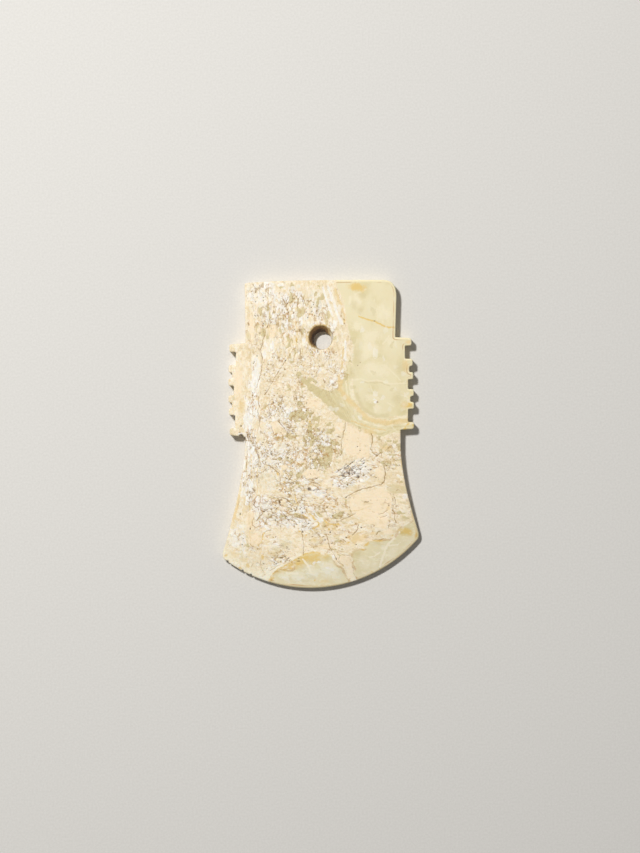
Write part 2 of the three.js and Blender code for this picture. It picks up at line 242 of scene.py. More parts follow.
# Larger patches of the upper face, as outlines.
OLIVE_PATCHES = [
    [(-12.2, 5.2), (-11.5, 7.8), (-9.5, 9.5), (-7.5, 10.2), (-5.3, 10), (-4.7, 8.5), (-5.5, 6.5),
        (-7.5, 5.2), (-10, 4.8)],
    [(-5, 4.6), (-2.8, 3.4), (-3.4, 1.8), (-3.2, 0), (-1.7, -1.6), (-1.4, -3.4), (-3, -3.7),
        (-4.4, -2.2), (-5.1, -0.4), (-4.5, 1.6), (-5.2, 3)],
    [(-18.3, -0.9), (-14, -0.7), (-14.4, -1.8), (-15.8, -3.1), (-17.4, -2.8)],
    [(0.4, -4.4), (3.9, -4.2), (5.2, -6), (4.7, -8.5), (4.2, -10.2), (1.9, -11.3), (-1.1, -11.1),
        (-0.5, -9.5), (1, -8.5), (1.7, -6.9)],
    [(-8.8, -14.7), (-7.5, -13.4), (-5.6, -12.7), (-6.5, -14.3), (-7.8, -15.8), (-8.6, -18.2),
        (-9.8, -17.4), (-9.4, -15.6)],
]
SMOOTH_PATCHES = [
    [(-7.2, -15.3), (-5, -13.5), (-2, -13.7), (-0.3, -15.4), (0.3, -16.3), (-2, -17.1), (-5.5, -17.3),
        (-7, -16.2)],
    [(-19.2, 4.6), (-17.3, 5.3), (-15.5, 3.5), (-13.3, 1.2), (-13, 0), (-14.5, -0.3), (-17, 0),
        (-18.2, -0.3), (-18.8, 2)],
    [(10.4, 3.4), (19, -0.2), (19.2, -5.4), (18.5, -9.8), (13, -9.2), (9.6, -7.8), (8.6, -4.6),
        (9.6, -1)],
    [(5.3, 4.2), (8.8, 4.6), (8.7, 0.6), (7.6, -0.4), (5.8, 0.6)],
    [(6.3, -47.8), (9, -47.6), (11.4, -48.8), (11.3, -51.5), (12.1, -54), (13.2, -57.5), (11.6, -57.5),
        (10.6, -54), (9.6, -51.7), (7.4, -50.4)],
    [(12.5, -23.8), (24, -20.8), (27.6, -24), (27.4, -31), (25, -37), (18, -35), (12, -30), (11, -26)],
]
OCHRE_PATCHES = [
    [(-17.5, -53.4), (-14, -52.2), (-11, -52), (-10.3, -50), (-9.7, -48.3), (-7, -47.3), (-4.4, -46.5),
        (-1.5, -46), (0.3, -47), (2.5, -46.8), (3.6, -48), (1.2, -48.6), (-1, -49.4), (-2.8, -50.8),
        (-5, -50.2), (-7.5, -51.8), (-10, -52.9), (-13, -53.3), (-16.5, -54.3)],
]
GREY_PATCHES = [
    [(-23.6, -17), (-22.6, -13.4), (-20.5, -12.7), (-17.8, -14.6), (-16.2, -16.4), (-16.3, -19.2),
        (-17.4, -21.6), (-20.4, -22.4), (-22.8, -20.6)],
    [(-20.5, -42), (-16, -40.5), (-11.5, -41.5), (-10.5, -44.5), (-14, -46.8), (-19.5, -46.5)],
    [(-4, 56), (0, 56.5), (3.5, 51), (3.5, 44), (1, 44), (-1.5, 49), (-4, 52.5)],
]
GREEN_PATCHES = [
    [(25.3, -20), (28, -19.4), (31, -20), (34, -19.8), (34, -22.8), (30, -23.4), (28, -23.4),
        (25.6, -21.8)],
    [(23, -10.8), (25.5, -10), (28, -10.6), (27.4, -12.6), (24.6, -12.8)],
]

# Lines on the upper face, by kind: (width, points).
CRACKS = [
    (0.35, [(-22.3, 46), (-22.4, 42), (-21.8, 38), (-22.5, 36), (-23.2, 33), (-23.3, 31.5), (-22.9, 31),
        (-22.7, 29), (-23, 26), (-23.2, 23), (-24.5, 20), (-24.8, 18)]),
    (0.35, [(-13.5, 28.5), (-15, 26.5), (-16.5, 24.3), (-18, 21.8), (-19.5, 19), (-20.5, 17),
        (-22, 15.2)]),
    (0.3, [(-24, 14.5), (-24.2, 12), (-23.8, 10.5), (-24.5, 9), (-24.2, 7), (-23.8, 6), (-24, 2.5)]),
    (0.3, [(-19.7, 10.8), (-20, 9), (-19.9, 7)]),
    (0.25, [(-28.6, -3), (-28.7, -6), (-28.5, -8), (-29, -13)]),
    (0.3, [(-25.6, 2), (-25.5, -2), (-25.3, -4), (-24.8, -7), (-24, -9.5), (-23.2, -12)]),
    (0.25, [(-19, 3), (-18.7, 1), (-18, -0.8)]),
    (0.25, [(-16.5, 5), (-15.3, 3.5), (-14, 1.8)]),
    (0.35, [(-22.3, -11.5), (-21, -12), (-20.3, -12), (-19.5, -12.5), (-18, -13.8), (-16.8, -14.8),
        (-16, -15.5), (-15.5, -17), (-15.7, -19)]),
    (0.25, [(-21, -13.3), (-22.3, -14.6)]),
    (0.3, [(9.7, 4.5), (9.4, 2), (8.9, 0.5), (8.5, -1.5), (8.1, -3), (8, -4.7), (8.2, -7),
        (7.8, -8.3)]),
    (0.35, [(19.7, 0), (20.2, -1.5), (19.9, -3.5), (19.8, -5), (19.3, -6), (20.3, -7), (21, -7.8),
        (21.8, -8.4), (23, -7.4), (23.8, -7.8), (23.5, -8.6)]),
    (0.4, [(24.7, -12.5), (25, -14), (25.3, -15.5), (24.8, -16.5), (25, -17.7), (24.5, -18.8),
        (23.5, -19.5), (21.5, -20), (20, -20.5), (18, -21), (16, -21.5), (14, -22.2), (12, -23.3),
        (10.5, -24), (9.8, -24.8)]),
    (0.3, [(28.7, -24.5), (29.2, -26), (29, -27), (28, -28.5), (28.3, -30), (28.9, -31), (28.8, -32),
        (28.5, -33), (29.2, -34.5)]),
    (0.3, [(-27.7, -24.8), (-27.1, -24.2)]),
    (0.3, [(-25, -24.4), (-24.3, -24), (-23.5, -24.4)]),
    (0.35, [(-25.8, -25.5), (-25.5, -26.5), (-26, -27.5), (-25.5, -28.5), (-24.5, -28.3),
        (-23.5, -28.6), (-23.2, -29.7), (-22, -30.2), (-21, -29.5), (-20, -29), (-19.3, -29),
        (-18.8, -30.5), (-18.2, -31), (-17.5, -30.5)]),
    (0.7, [(-16.2, -27), (-16.4, -25.5), (-16.3, -24.7), (-15.3, -24.4), (-14.4, -24.8), (-13, -25.2),
        (-12.2, -26.5)]),
    (0.25, [(-17, -25.8), (-18.2, -26.8)]),
    (0.4, [(-22.7, -31), (-23.7, -32), (-24.2, -33), (-24.8, -33.7)]),
    (0.35, [(-17, -30.7), (-18.3, -31.5), (-19.3, -32.3)]),
    (0.35, [(-19, -31.7), (-21, -33), (-21.5, -34.5)]),
    (0.3, [(-15.5, -30), (-13.7, -30), (-12.7, -30.8)]),
    (0.35, [(-14.5, -31), (-13.5, -32), (-12.3, -33.7)]),
    (0.25, [(-25, -36.3), (-26.5, -35.5), (-26.5, -34.5), (-26, -32.5)]),
    (0.3, [(-19.5, -37.4), (-21, -37.6), (-22, -38.4)]),
    (0.25, [(-27.5, -42.7), (-26.5, -44)]),
    (0.3, [(-12.8, -23.5), (-11.5, -23.7)]),
    (0.35, [(2.4, -39), (2.5, -40.3), (3, -41.5), (3.2, -43), (3.7, -44.5), (4.5, -45.8), (5.3, -46.8),
        (5.6, -48), (6.3, -49.2), (7.5, -50.5)]),
    (0.3, [(2.2, -27.2), (3.2, -26.9), (4.2, -27.3)]),
    (0.3, [(2, -24.3), (2.8, -25)]),
    (0.3, [(5, -25.5), (6, -26)]),
    (0.3, [(13.5, -31), (12, -31.7), (10.5, -32.5), (8.8, -33), (7.8, -33.8)]),
    (0.25, [(-7.3, -37), (-7, -41), (-6.5, -43), (-6.6, -45), (-6.7, -47)]),
    (0.3, [(9, -41.2), (10, -42)]),
    (0.3, [(7.3, -46.3), (8.5, -47), (10, -47.2), (11.5, -47.2)]),
    (0.25, [(7.2, -47.6), (7, -49), (8, -50.4), (8.8, -51.2)]),
    (0.35, [(17, -26.6), (17.8, -26.3), (18.7, -26.3)]),
    (0.25, [(26, -29.5), (24, -30.8), (22.5, -31.3)]),
    (0.25, [(23.3, -32.4), (24.5, -32.1), (25.7, -31.6)]),
    (0.4, [(14.8, -35), (14.3, -36), (14.5, -37), (14, -37.6), (12.5, -39.3)]),
    (0.35, [(21.8, -38.9), (22.3, -38), (23.3, -37.8)]),
    (0.3, [(20, -41.2), (22, -41.1), (24.5, -40.9)]),
    (0.25, [(-19.5, -53.3), (-18, -52), (-17, -51.5), (-15.6, -51.1)]),
    (0.3, [(-23.3, -49.3), (-23.5, -50.5), (-23, -52.5), (-22, -54)]),
    (0.3, [(12.3, -51.5), (13, -52.5), (12.5, -54), (13.3, -55), (14, -56)]),
    (0.25, [(3, 25), (4.7, 24)]),
    (0.25, [(1, 21.2), (1.8, 20)]),
    (0.25, [(-0.5, -16.8), (-2.5, -17.8), (-3.3, -18.2)]),
]
RUST_LINES = [
    (0.7, [(14.8, 45.7), (17, 45), (18.8, 44.3), (20.5, 44), (21, 43.8), (23, 42.8), (25, 41.8),
        (26.5, 41.5), (31, 41.5)]),
    (0.5, [(-22, -38.3), (-22.6, -39.5), (-22.6, -41), (-23.3, -42.3), (-24.3, -43.3)]),
    (0.7, [(-8.5, -33), (-8, -31.8), (-6.8, -31.5), (-5.8, -32.3), (-4.8, -33), (-3.8, -33.2)]),
    (0.7, [(-4.5, -31), (-3.2, -31.5), (-2.5, -33), (-1.2, -34), (-0.7, -34.8), (-0.9, -35.5),
        (-2, -36.3), (-3.5, -37), (-4.2, -37.5)]),
    (0.5, [(-10, -22), (-9.8, -25), (-9.2, -27), (-8.5, -28)]),
    (0.5, [(-20.2, -57.2), (-19.2, -55.2), (-17.9, -53.6), (-16.2, -52.4), (-14, -51.4), (-12, -50.2),
        (-9.6, -48.6)]),
    (0.6, [(0.4, -32.8), (1.8, -33.9), (3.2, -35), (5, -35.2), (7, -35)]),
    (0.35, [(-6.7, -46.9), (-5.3, -46.4), (-3, -46), (-1.4, -45.8), (-0.3, -46.4)]),
    (0.4, [(5, -35.5), (6.5, -35.2), (7.2, -35.3)]),
    (0.35, [(32.7, 2.6), (33.4, 3.6), (34.6, 4)]),
]
TAN_LINES = [
    (0.4, [(-28.5, 2), (-28.2, -6), (-28.7, -14), (-29.4, -24), (-30, -31)]),
    (0.4, [(-26.9, 3), (-27.1, -7), (-26.8, -15), (-27.4, -23), (-27.9, -33)]),
    (0.4, [(-24.4, -12), (-24.9, -17), (-24.4, -21), (-25.3, -26)]),
    (0.4, [(-26.5, -33), (-27.6, -38), (-27.2, -43), (-27.8, -48)]),
    (0.4, [(-20, 58), (-20.6, 52), (-19.8, 47), (-20.4, 43), (-19.9, 38)]),
    (0.4, [(-9.5, 50), (-10, 45), (-9.3, 40), (-9.6, 34)]),
    (0.4, [(5, -39.8), (8.5, -39), (12, -39.6), (15.5, -38.2), (18, -37.8)]),
    (0.4, [(-1, -37.2), (3, -36.6), (6.5, -37.4), (10, -35.8), (14, -34.8), (18, -33.6)]),
    (0.4, [(-4, -44.2), (0, -43.4), (5, -44), (9, -42.8), (13, -43.2)]),
    (0.4, [(6, -30.8), (10, -29.8), (14, -29.9), (19, -28.2)]),
]
PEACH_LINES = [
    (1.1, [(5.5, 56.5), (6.5, 53.5), (7.7, 51), (8.3, 48.5), (9.2, 46)]),
    (2.2, [(8, 23), (7.3, 19.5), (7.8, 17.2), (9.8, 14.3), (14, 10.1), (18.2, 6.2), (22, 4.9),
        (26, 4.3), (31, 5), (37, 5.5)]),
    (0.8, [(8.7, 34), (8.5, 29), (7.9, 24)]),
    (1, [(-31.7, -24), (-32.3, -28), (-33.3, -32), (-34, -34.5)]),
    (0.8, [(35.2, -30), (36.5, -35), (37.4, -38)]),
    (0.7, [(12, 5), (16, 3.8), (20, 2.2), (25, 1.5)]),
    (0.6, [(27, -50.4), (30, -48), (33, -45), (35.5, -42)]),
    (0.6, [(-14, -58.6), (-8, -59), (0, -59.2), (6, -58.8)]),
]
CHALK_LINES = [
    (0.9, [(-2.7, 50), (-2.2, 48), (-1, 45.5), (0, 43.2), (0.2, 42.3)]),
    (0.9, [(2.6, 57.5), (4.2, 54), (5, 51.5), (6, 47.5), (7.3, 45), (8, 43)]),
    (0.7, [(0.8, 57), (2, 53), (3.4, 49.5), (4.6, 46)]),
    (2.6, [(-25.4, 29.3), (-25, 25), (-25.2, 20), (-25.7, 16)]),
    (1, [(-19, 35.5), (-18.4, 30.5)]),
    (0.9, [(-29.3, 14.5), (-28, 11.5)]),
    (1.3, [(-27.9, 3), (-27.6, -4), (-28, -10)]),
    (0.9, [(-26.3, 1), (-26, -6), (-26.4, -13)]),
    (1.1, [(-27.7, -12), (-28.3, -20), (-28.8, -27)]),
    # This one, just inside the left edge, is a painted highlight where the rounded edge faces the key
    # light, broken up into chalk crumbs.
    (0.9, [(-29.6, -8), (-30, -16), (-30.6, -24)]),
    (0.7, [(9.6, 36), (9.5, 32), (9.8, 28.5)]),
    (1, [(8.8, 25), (8, 22)]),
    (0.8, [(-30.3, -41), (-30.5, -43), (-30, -45), (-29.3, -47.5)]),
    (0.5, [(-19.5, -37), (-21, -37.1), (-22, -38)]),
    (1.4, [(-4, -28), (-2, -31), (0, -33.5)]),
]
VEINS = [
    (0.6, [(31.5, -36.2), (33, -35), (34.5, -34.3)]),
    (0.9, [(-7, -48.7), (-6, -49.8), (-4.8, -51.5), (-4, -53.5)]),
    (0.9, [(-13.5, -54), (-9, -54.3)]),
    (1.1, [(30.5, -38), (28, -41), (26.5, -42.5), (25.3, -44.5), (24.5, -47), (23.8, -49),
        (23, -51.5)]),
    (0.5, [(31, -42), (30, -43), (28, -43.2), (25.2, -43.9)]),
    (0.6, [(19, -48), (21, -47.5), (23, -46)]),
    (1.5, [(-21.2, -57.2), (-20, -54.6), (-18.6, -53), (-16.8, -51.7), (-14.8, -50.6), (-12.6, -49.2),
        (-10, -47.6), (-8, -46.6)]),
]
MILK_LINES = [
    (0.7, [(11.5, 20.8), (15.5, 21.5), (17, 20.9), (19, 20.6), (22, 20.9), (24, 20.4), (26, 19.8),
        (28, 19.5), (33, 19.8)]),
    (0.6, [(25.5, 26.5), (27.5, 24.3), (29, 23), (30, 21.8), (31, 20.7)]),
    (0.5, [(19.3, 19), (20, 17), (21, 15.5)]),
    (1, [(21.6, 11.3), (22.3, 9.8), (21.3, 8.5)]),
    (0.6, [(27.3, 3.5), (28, 2.5), (29, 1.5), (30, 0.8)]),
    (0.5, [(31, 12.5), (32, 12), (33.5, 10.2)]),
    (0.5, [(26, 12.2), (28.5, 10.6)]),
    (0.8, [(13.3, 54.2), (14.5, 55), (16, 55.5), (17.5, 56.3)]),
    (1.2, [(11.2, 50.8), (11.6, 53.4)]),
    (0.6, [(20.9, 52.7), (20.6, 51.3)]),
    (0.7, [(15.3, 47.5), (16, 46.5)]),
    (0.6, [(24, 35), (25.5, 36.5), (26.5, 38.2)]),
    (0.5, [(29, 15.5), (32, 15), (34, 14.2)]),
]
OLIVE_LINES = [
    (0.7, [(-12, 51.5), (-11.4, 50), (-11.2, 48), (-12, 45), (-12.2, 43), (-11.6, 41)]),
]
GREEN_LINES = [
    (2.2, [(13.8, 15.5), (15, 12.4), (16.4, 10), (18.6, 8.3), (22, 7), (26, 7.3)]),
    (0.7, [(16, 20.4), (19, 19.8), (23, 20), (27, 18.8)]),
    (0.9, [(27.6, -41.8), (26, -43.5), (24.9, -46), (24.3, -48.8)]),
]

# The half-clear band below the bowl: its sharp lower border from the left, and the way back.
BAND_BORDER = [
    (-9.1, 22.9), (-7.6, 20.9), (-4.3, 16.9), (-1.4, 14.5), (1.7, 11.5), (4.4, 8.6), (6.9, 6.3),
    (9.2, 5.2), (12, 3.9), (15.5, 2), (18.8, 0.6), (21.5, -0.4), (24, -1.6), (26.5, -0.3), (31, 0.6),
    (37, 1),
]
BAND_UPPER_END = [
    (37, 7), (31, 7.2), (26, 6.3), (22, 6), (17.5, 8.5), (15, 11.5), (13, 15), (12.5, 20), (12.3, 26),
    (11, 30), (9.6, 27), (8.4, 22), (6.4, 18), (3.4, 16.8), (0, 17.9), (-3, 19.6), (-6.5, 22.3),
    (-8.6, 23.7),
]

# How much of the skin is broken up, chalky or olive: (share, [marks]).
ROUGH_AREAS = [
    (0.45, [(-14, 46, 12, 11), (-2, 40, 6, 11)]),
    (0.3, [(-22, 54, 8, 5), (2, 25, 8, 9), (24, -9, 8, 5), (28, -31, 3, 8), (-12, 30, 6, 4)]),
    (0.22, [(-14, 20, 10, 9), (-22, -44, 14, 9), (-25, 40, 4, 10)]),
    (0.6, [(-13, 6, 11, 11), (-14, -9, 12, 6), (-2, -6, 8, 9), (-9, -20, 9, 7)]),
    (0.7, [(-14, -30, 12, 7), (12, -15.5, 8, 4.5, 20), (-16, -50, 5, 2)]),
    (0.5, [(4, -28, 7, 6), (-27, -8, 3, 26)]),
    (0.3, [(2, -39, 11, 6), (12, -38, 8, 4)]),
]
CHALKY_AREAS = [
    (0.55, [(-22, 54, 6, 4), (-27, -6, 2.5, 22)]),
    (0.2, [(-16, 50, 9, 8), (-4, 43, 5, 7), (-8, 55, 8, 4), (5, 48, 3, 10, -20)]),
    (0.38, [(-16, 5, 8, 8), (-17, -9, 9, 6), (-3, -2, 6, 3)]),
    (0.5, [(-15, -33, 9, 3.5), (-24, -28, 4, 6), (12, -15.5, 7, 4, 20), (-1, -23, 4, 3)]),
    (0.25, [(-32, -40, 4, 7), (-19, 32, 3, 8), (-19, -53, 4, 3)]),
    (0.12, [(0, 24, 12, 10), (-12, -20, 8, 6), (20, -24, 14, 5), (-24, -40, 9, 7)]),
]
MOSSY_AREAS = [
    (0.15, [(-12, 44, 5, 14), (-2, 52, 4, 7), (2, 44, 3, 5), (-23, 44, 3, 10)]),
    (0.4, [(1, -6, 7, 8), (-3, 2, 4, 5), (-10, -2, 5, 3)]),
    (0.22, [(-10, -14, 7, 5), (4, -30, 6, 5), (-6, 19.5, 6, 3, -40)]),
    (0.12, [(-14, 12, 9, 6), (-16, -28, 9, 6), (26, -8, 6, 5)]),
]

# Swarms of gashes: (x, y, half length, half width, turn, how many).
GASHES = [
    (12.6, -12.6, 6, 2.2, 22, 22),
    (12, -15.8, 4.5, 1.6, 14, 10),
    (0.5, -22, 2.6, 1.2, 5, 5),
]
GASH_LENGTH = 3.4  # a little more than the longest has
GASH_WIDTH = 0.5
GASH_FAINTNESS = 0.45  # how much weaker a gash is than a pit

# ---------------------------------------------------------------- plan geometry


def loops_at(mesh, height):
    """The closed loops in which a level plane cuts the mesh, as arrays of plan points in mm."""
    cut = bmesh.new()
    cut.from_mesh(mesh)
    bmesh.ops.remove_doubles(cut, verts=cut.verts, dist=1e-7)
    parts = cut.verts[:] + cut.edges[:] + cut.faces[:]
    plane = {"plane_co": (0, 0, height), "plane_no": (0, 0, 1), "dist": 1e-7}
    made = bmesh.ops.bisect_plane(cut, geom=parts, **plane)["geom_cut"]
    edges = {part for part in made if isinstance(part, bmesh.types.BMEdge)}
    loops = []
    while edges:
        edge = edges.pop()
        first, here = edge.verts
        loop = [first]
        while here != first:
            loop.append(here)
            edge = next(e for e in here.link_edges if e in edges)
            edges.remove(edge)
            here = edge.other_vert(here)
        loops.append(np.array([vert.co.xy for vert in loop]) / MM)
    cut.free()
    return [in_order(loop) for loop in loops]


def in_order(loop):
    """The loop, running anticlockwise from its rightmost point."""
    x, y = loop.T
    area = np.sum(x * np.roll(y, -1) - np.roll(x, -1) * y)
    loop = loop if area > 0 else loop[::-1]
    return np.roll(loop, -np.lexsort((loop[:, 1], loop[:, 0]))[-1], axis=0)


def walked(line, spacing, closed=False):
    """A line walked in equal steps. A closed one stops before its first point."""
    line = np.vstack([line, line[:1]]) if closed else np.asarray(line, float)
    along = np.concatenate([[0], np.cumsum(np.hypot(*np.diff(line, axis=0).T))])
    count = max(3, round(along[-1] / spacing))
    places = np.linspace(0, along[-1], count, endpoint=not closed)
    return np.stack([np.interp(places, along, line[:, axis]) for axis in (0, 1)], 1)


def circle_through(points):
    """The centre and radius of the circle that fits the points best."""
    x, y = points.T
    terms = np.stack([2 * x, 2 * y, np.ones_like(x)], 1)
    (cx, cy, rest), *_ = np.linalg.lstsq(terms, x * x + y * y, rcond=None)
    return np.array([cx, cy]), math.sqrt(rest + cx * cx + cy * cy)


def circle(centre, radius, sides):
    """Points round a circle, anticlockwise."""
    turn = np.arange(sides) * 2 * np.pi / sides
    return centre + radius * np.stack([np.cos(turn), np.sin(turn)], 1)


def axes(turn):
    """Two unit vectors: one turned by so many radians from x, and one square to it."""
    cos, sin = math.cos(turn), math.sin(turn)
    return np.array([cos, sin]), np.array([-sin, cos])


def sideways(steps):
    """Unit vectors square to the steps, on their left."""
    steps = steps / np.hypot(*steps.T)[:, None]
    return np.stack([-steps[:, 1], steps[:, 0]], 1)


def inward(loop, distance):
    """A closed anticlockwise loop moved towards its inside."""
    return loop + distance * sideways(np.roll(loop, -1, axis=0) - np.roll(loop, 1, axis=0))


def distance_to_line(points, line):
    """How far each point is from an open line of points."""
    nearest = np.full(len(points), np.inf)
    line = np.asarray(line, float)
    for start, end in zip(line[:-1], line[1:]):
        step = end - start
        share = np.clip((points - start) @ step / (step @ step), 0, 1)
        gap = points - start - share[:, None] * step
        nearest = np.minimum(nearest, np.einsum("ij,ij->i", gap, gap))
    return np.sqrt(nearest)


def inside_distance(points, loop):
    """How far each point is from a closed loop: positive inside it, negative outside."""
    x, y = points.T
    inside = np.zeros(len(points), bool)
    loop = np.asarray(loop, float)
    for (ax, ay), (bx, by) in zip(loop, np.roll(loop, -1, axis=0)):
        if ay != by:
            crosses = (ay > y) != (by > y)
            inside ^= crosses & (x < ax + (y - ay) / (by - ay) * (bx - ax))
    distance = distance_to_line(points, np.vstack([loop, loop[:1]]))
    return np.where(inside, distance, -distance)


def lattice(low, high, spacing, seed):
    """A slightly uneven triangular lattice of points over a rectangle."""
    rows = np.arange(low[1], high[1], spacing * math.sqrt(3) / 2)
    columns = np.arange(low[0], high[0], spacing)
    x = columns + np.where(np.arange(len(rows)) % 2, spacing / 2, 0)[:, None]
    points = np.stack([x, np.broadcast_to(rows[:, None], x.shape)], -1).reshape(-1, 2)
    shake = np.random.default_rng(seed).uniform(-0.12, 0.12, points.shape)
    return points + spacing * shake


# ---------------------------------------------------------------- noise and marks


def smooth_step(value, low, high):
    """0 below low and 1 above high, easing in between."""
    share = np.clip((value - low) / (high - low), 0, 1)
    return share * share * (3 - 2 * share)


def noise(points, cell, seed, turn=0, stretch=1):
    """Smooth noise from -1 to 1 with bumps a cell wide, stretched along a direction."""
    cells = 256  # before the pattern comes again
    along, across = (points @ axis for axis in axes(math.radians(turn)))
    along, across = along / (cell * stretch), across / cell
    values = np.random.default_rng(seed).uniform(-1, 1, (cells, cells))
    i, j = np.floor(along).astype(int), np.floor(across).astype(int)
    u, v = along - i, across - j
    u, v = u * u * (3 - 2 * u), v * v * (3 - 2 * v)
    i, j, next_i, next_j = i % cells, j % cells, (i + 1) % cells, (j + 1) % cells
    low = values[i, j] * (1 - u) + values[next_i, j] * u
    high = values[i, next_j] * (1 - u) + values[next_i, next_j] * u
    return low * (1 - v) + high * v


def layered_noise(points, cell, seed, layers=3, turn=0, stretch=1):
    """Noise with finer and weaker layers on top, still about -1 to 1."""
    total = sum(
        noise(points, cell / 2**k, seed + k, turn, stretch) / 1.7**k for k in range(layers)
    )
    return total / sum(1 / 1.7**k for k in range(layers)) * 1.5


def wandered(points, reach, cell, seed):
    """The points, each moved a little, so that drawn shapes lose their neat edges."""
    shift = [layered_noise(points, cell, seed + 50 * axis) for axis in (0, 1)]
    return points + reach * np.stack(shift, 1)


def marks_field(points, marks):
    """1 at a mark's middle, 0 at its edge, and down to -1 outside, for the nearest mark."""
    field = np.full(len(points), -1.0)
    for x, y, length, *rest in marks:
        width = rest[0] if rest else length
        along, across = axes(math.radians(rest[1]) if len(rest) > 1 else 0)
        gap = points - (x, y)
        field = np.maximum(field, 1 - np.hypot(gap @ along / length, gap @ across / width))
    return field


def lines_field(points, lines):
    """1 on a line, 0 at half its width away, and down to -1 outside, for the nearest line."""
    field = np.full(len(points), -1.0)
    for width, line in lines:
        low, high = np.min(line, 0) - width - 1, np.max(line, 0) + width + 1
        near = np.all((points > low) & (points < high), 1)
        gap = distance_to_line(points[near], line)
        field[near] = np.maximum(field[near], 1 - gap / (width / 2))
    return field


def patches_field(points, patches, soft=0.6):
    """1 well inside the nearest outlined patch, 0 at its edge, -1 well outside."""
    nearest = np.max([inside_distance(points, patch) for patch in patches], 0)
    return np.clip(nearest / soft, -1, 1)


def frayed(line, step=0.3, reach=0.22, seed=5):
    """An open line walked in short steps, each moved a little sideways, as a crack runs."""
    return wandered(walked(line, step), reach, 0.9, seed)


def gashes(x, y, length, width, turn, count):
    """Short lines scattered over a long patch, drawn out along it: (width, points)."""
    random = np.random.default_rng(count)
    turn = math.radians(turn)
    lengthwise, crosswise = axes(turn)
    lines = []
    for angle, reach, size, tilt in random.uniform(size=(count, 4)):
        angle, reach = 2 * math.pi * angle, math.sqrt(reach)
        along, across = length * reach * math.cos(angle), width * reach * math.sin(angle)
        middle = (x, y) + along * lengthwise + across * crosswise
        half = (0.2 + 0.7 * size * size) * GASH_LENGTH / 2
        step = half * axes(turn + 0.6 * (tilt - 0.4))[0]
        lines.append((GASH_WIDTH * (0.7 + 0.6 * size), [middle - step, middle, middle + step]))
    return lines


CRACK_LINES = [(width, frayed(line)) for width, line in CRACKS]
GASH_LINES = [(width, frayed(line)) for swarm in GASHES for width, line in gashes(*swarm)]

# ---------------------------------------------------------------- the form


class Form:
    """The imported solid's form: its outline, its hole, and the height of its faces."""

    def __init__(self, mesh, low, high):
        self.middle = (low.z + high.z) / 2 / MM
        self.half = (high.z - low.z) / 2 / MM
        rim, neck = self.slice(mesh, 0)
        self.rim = walked(rim, RIM_SPACING, closed=True)
        self.neck, self.neck_radius = circle_through(neck)
        # The cutting edge's arc is found from its low part, away from the worn left end.
        low_edge = rim[(rim[:, 1] < rim[:, 1].min() + 9) & (rim[:, 0] > -20)]
        self.edge_centre, self.edge_radius = circle_through(low_edge)
        self.mouths = {side: self.mouth(mesh, side) for side in (1, -1)}

    def slice(self, mesh, share):
        """The outline and the hole at a share of the way from the middle to a face."""
        loops = loops_at(mesh, (self.middle + share * self.half) * MM)
        return sorted(loops, key=lambda loop: -np.ptp(loop[:, 1]))[:2]

    def mouth(self, mesh, side):
        """The hole's cone at one face: its middle and radius where the arris begins."""
        probe = 0.6
        centre, radius = circle_through(self.slice(mesh, side * probe)[1])
        share = (1 - MOUTH_ARRIS / self.half) / probe
        return (
            self.neck + share * (centre - self.neck),
            self.neck_radius + share * (radius - self.neck_radius),
        )

    def half_thickness(self, points):
        """Half the thickness over a point: the cutting edge's bevel thins it."""
        gap = points - self.edge_centre
        inside = self.edge_radius - np.hypot(*gap.T)
        inside = np.where(gap[:, 1] > 0, BEVEL_WIDTH, inside)
        swell = np.sin(np.pi / 2 * np.clip(inside / BEVEL_WIDTH, 0, 1))
        return EDGE_THICKNESS / 2 + (self.half - EDGE_THICKNESS / 2) * swell

    def arris(self, points):
        """How far the long edge is rounded off near a point."""
        return np.minimum(ARRIS, 0.9 * self.half_thickness(points))

    def rim_rings(self):
        """The side wall's rings, from below the upper arris down, slightly hollowed."""
        wall = self.half_thickness(self.rim) - self.arris(self.rim)
        for share in np.linspace(1, -1, WALL_ROWS + 1)[1:-1]:
            hollow = HOLLOW * (1 + layered_noise(self.rim + 40 * share, 2.5, seed=97))
            ring = self.rim + (inward(self.rim, 1) - self.rim) * hollow[:, None]
            yield np.column_stack([ring, share * wall])

    def hole_rings(self):
        """The hole's rings, from below the upper mouth down, slightly grooved.

        Each comes with its share of the way from the neck to a mouth, negative below the neck.
        """
        for share in np.linspace(1, -1, 2 * HOLE_ROWS + 1)[1:-1]:
            centre, radius = self.mouths[1 if share >= 0 else -1]
            middle = self.neck + abs(share) * (centre - self.neck)
            wide = self.neck_radius + abs(share) * (radius - self.neck_radius)
            groove = HOLLOW * (1 + math.sin(23 * share)) * (1 - abs(share))
            ring = circle(middle, wide + groove, HOLE_SIDES)
            height = share * (self.half - MOUTH_ARRIS)
            yield share, np.column_stack([ring, np.full(HOLE_SIDES, height)])


def rounded_off(distance, size):
    """How far a rounded edge of that size has dropped at a distance from it."""
    left = np.clip(size - distance, 0, size)
    return size - np.sqrt(size * size - left * left)


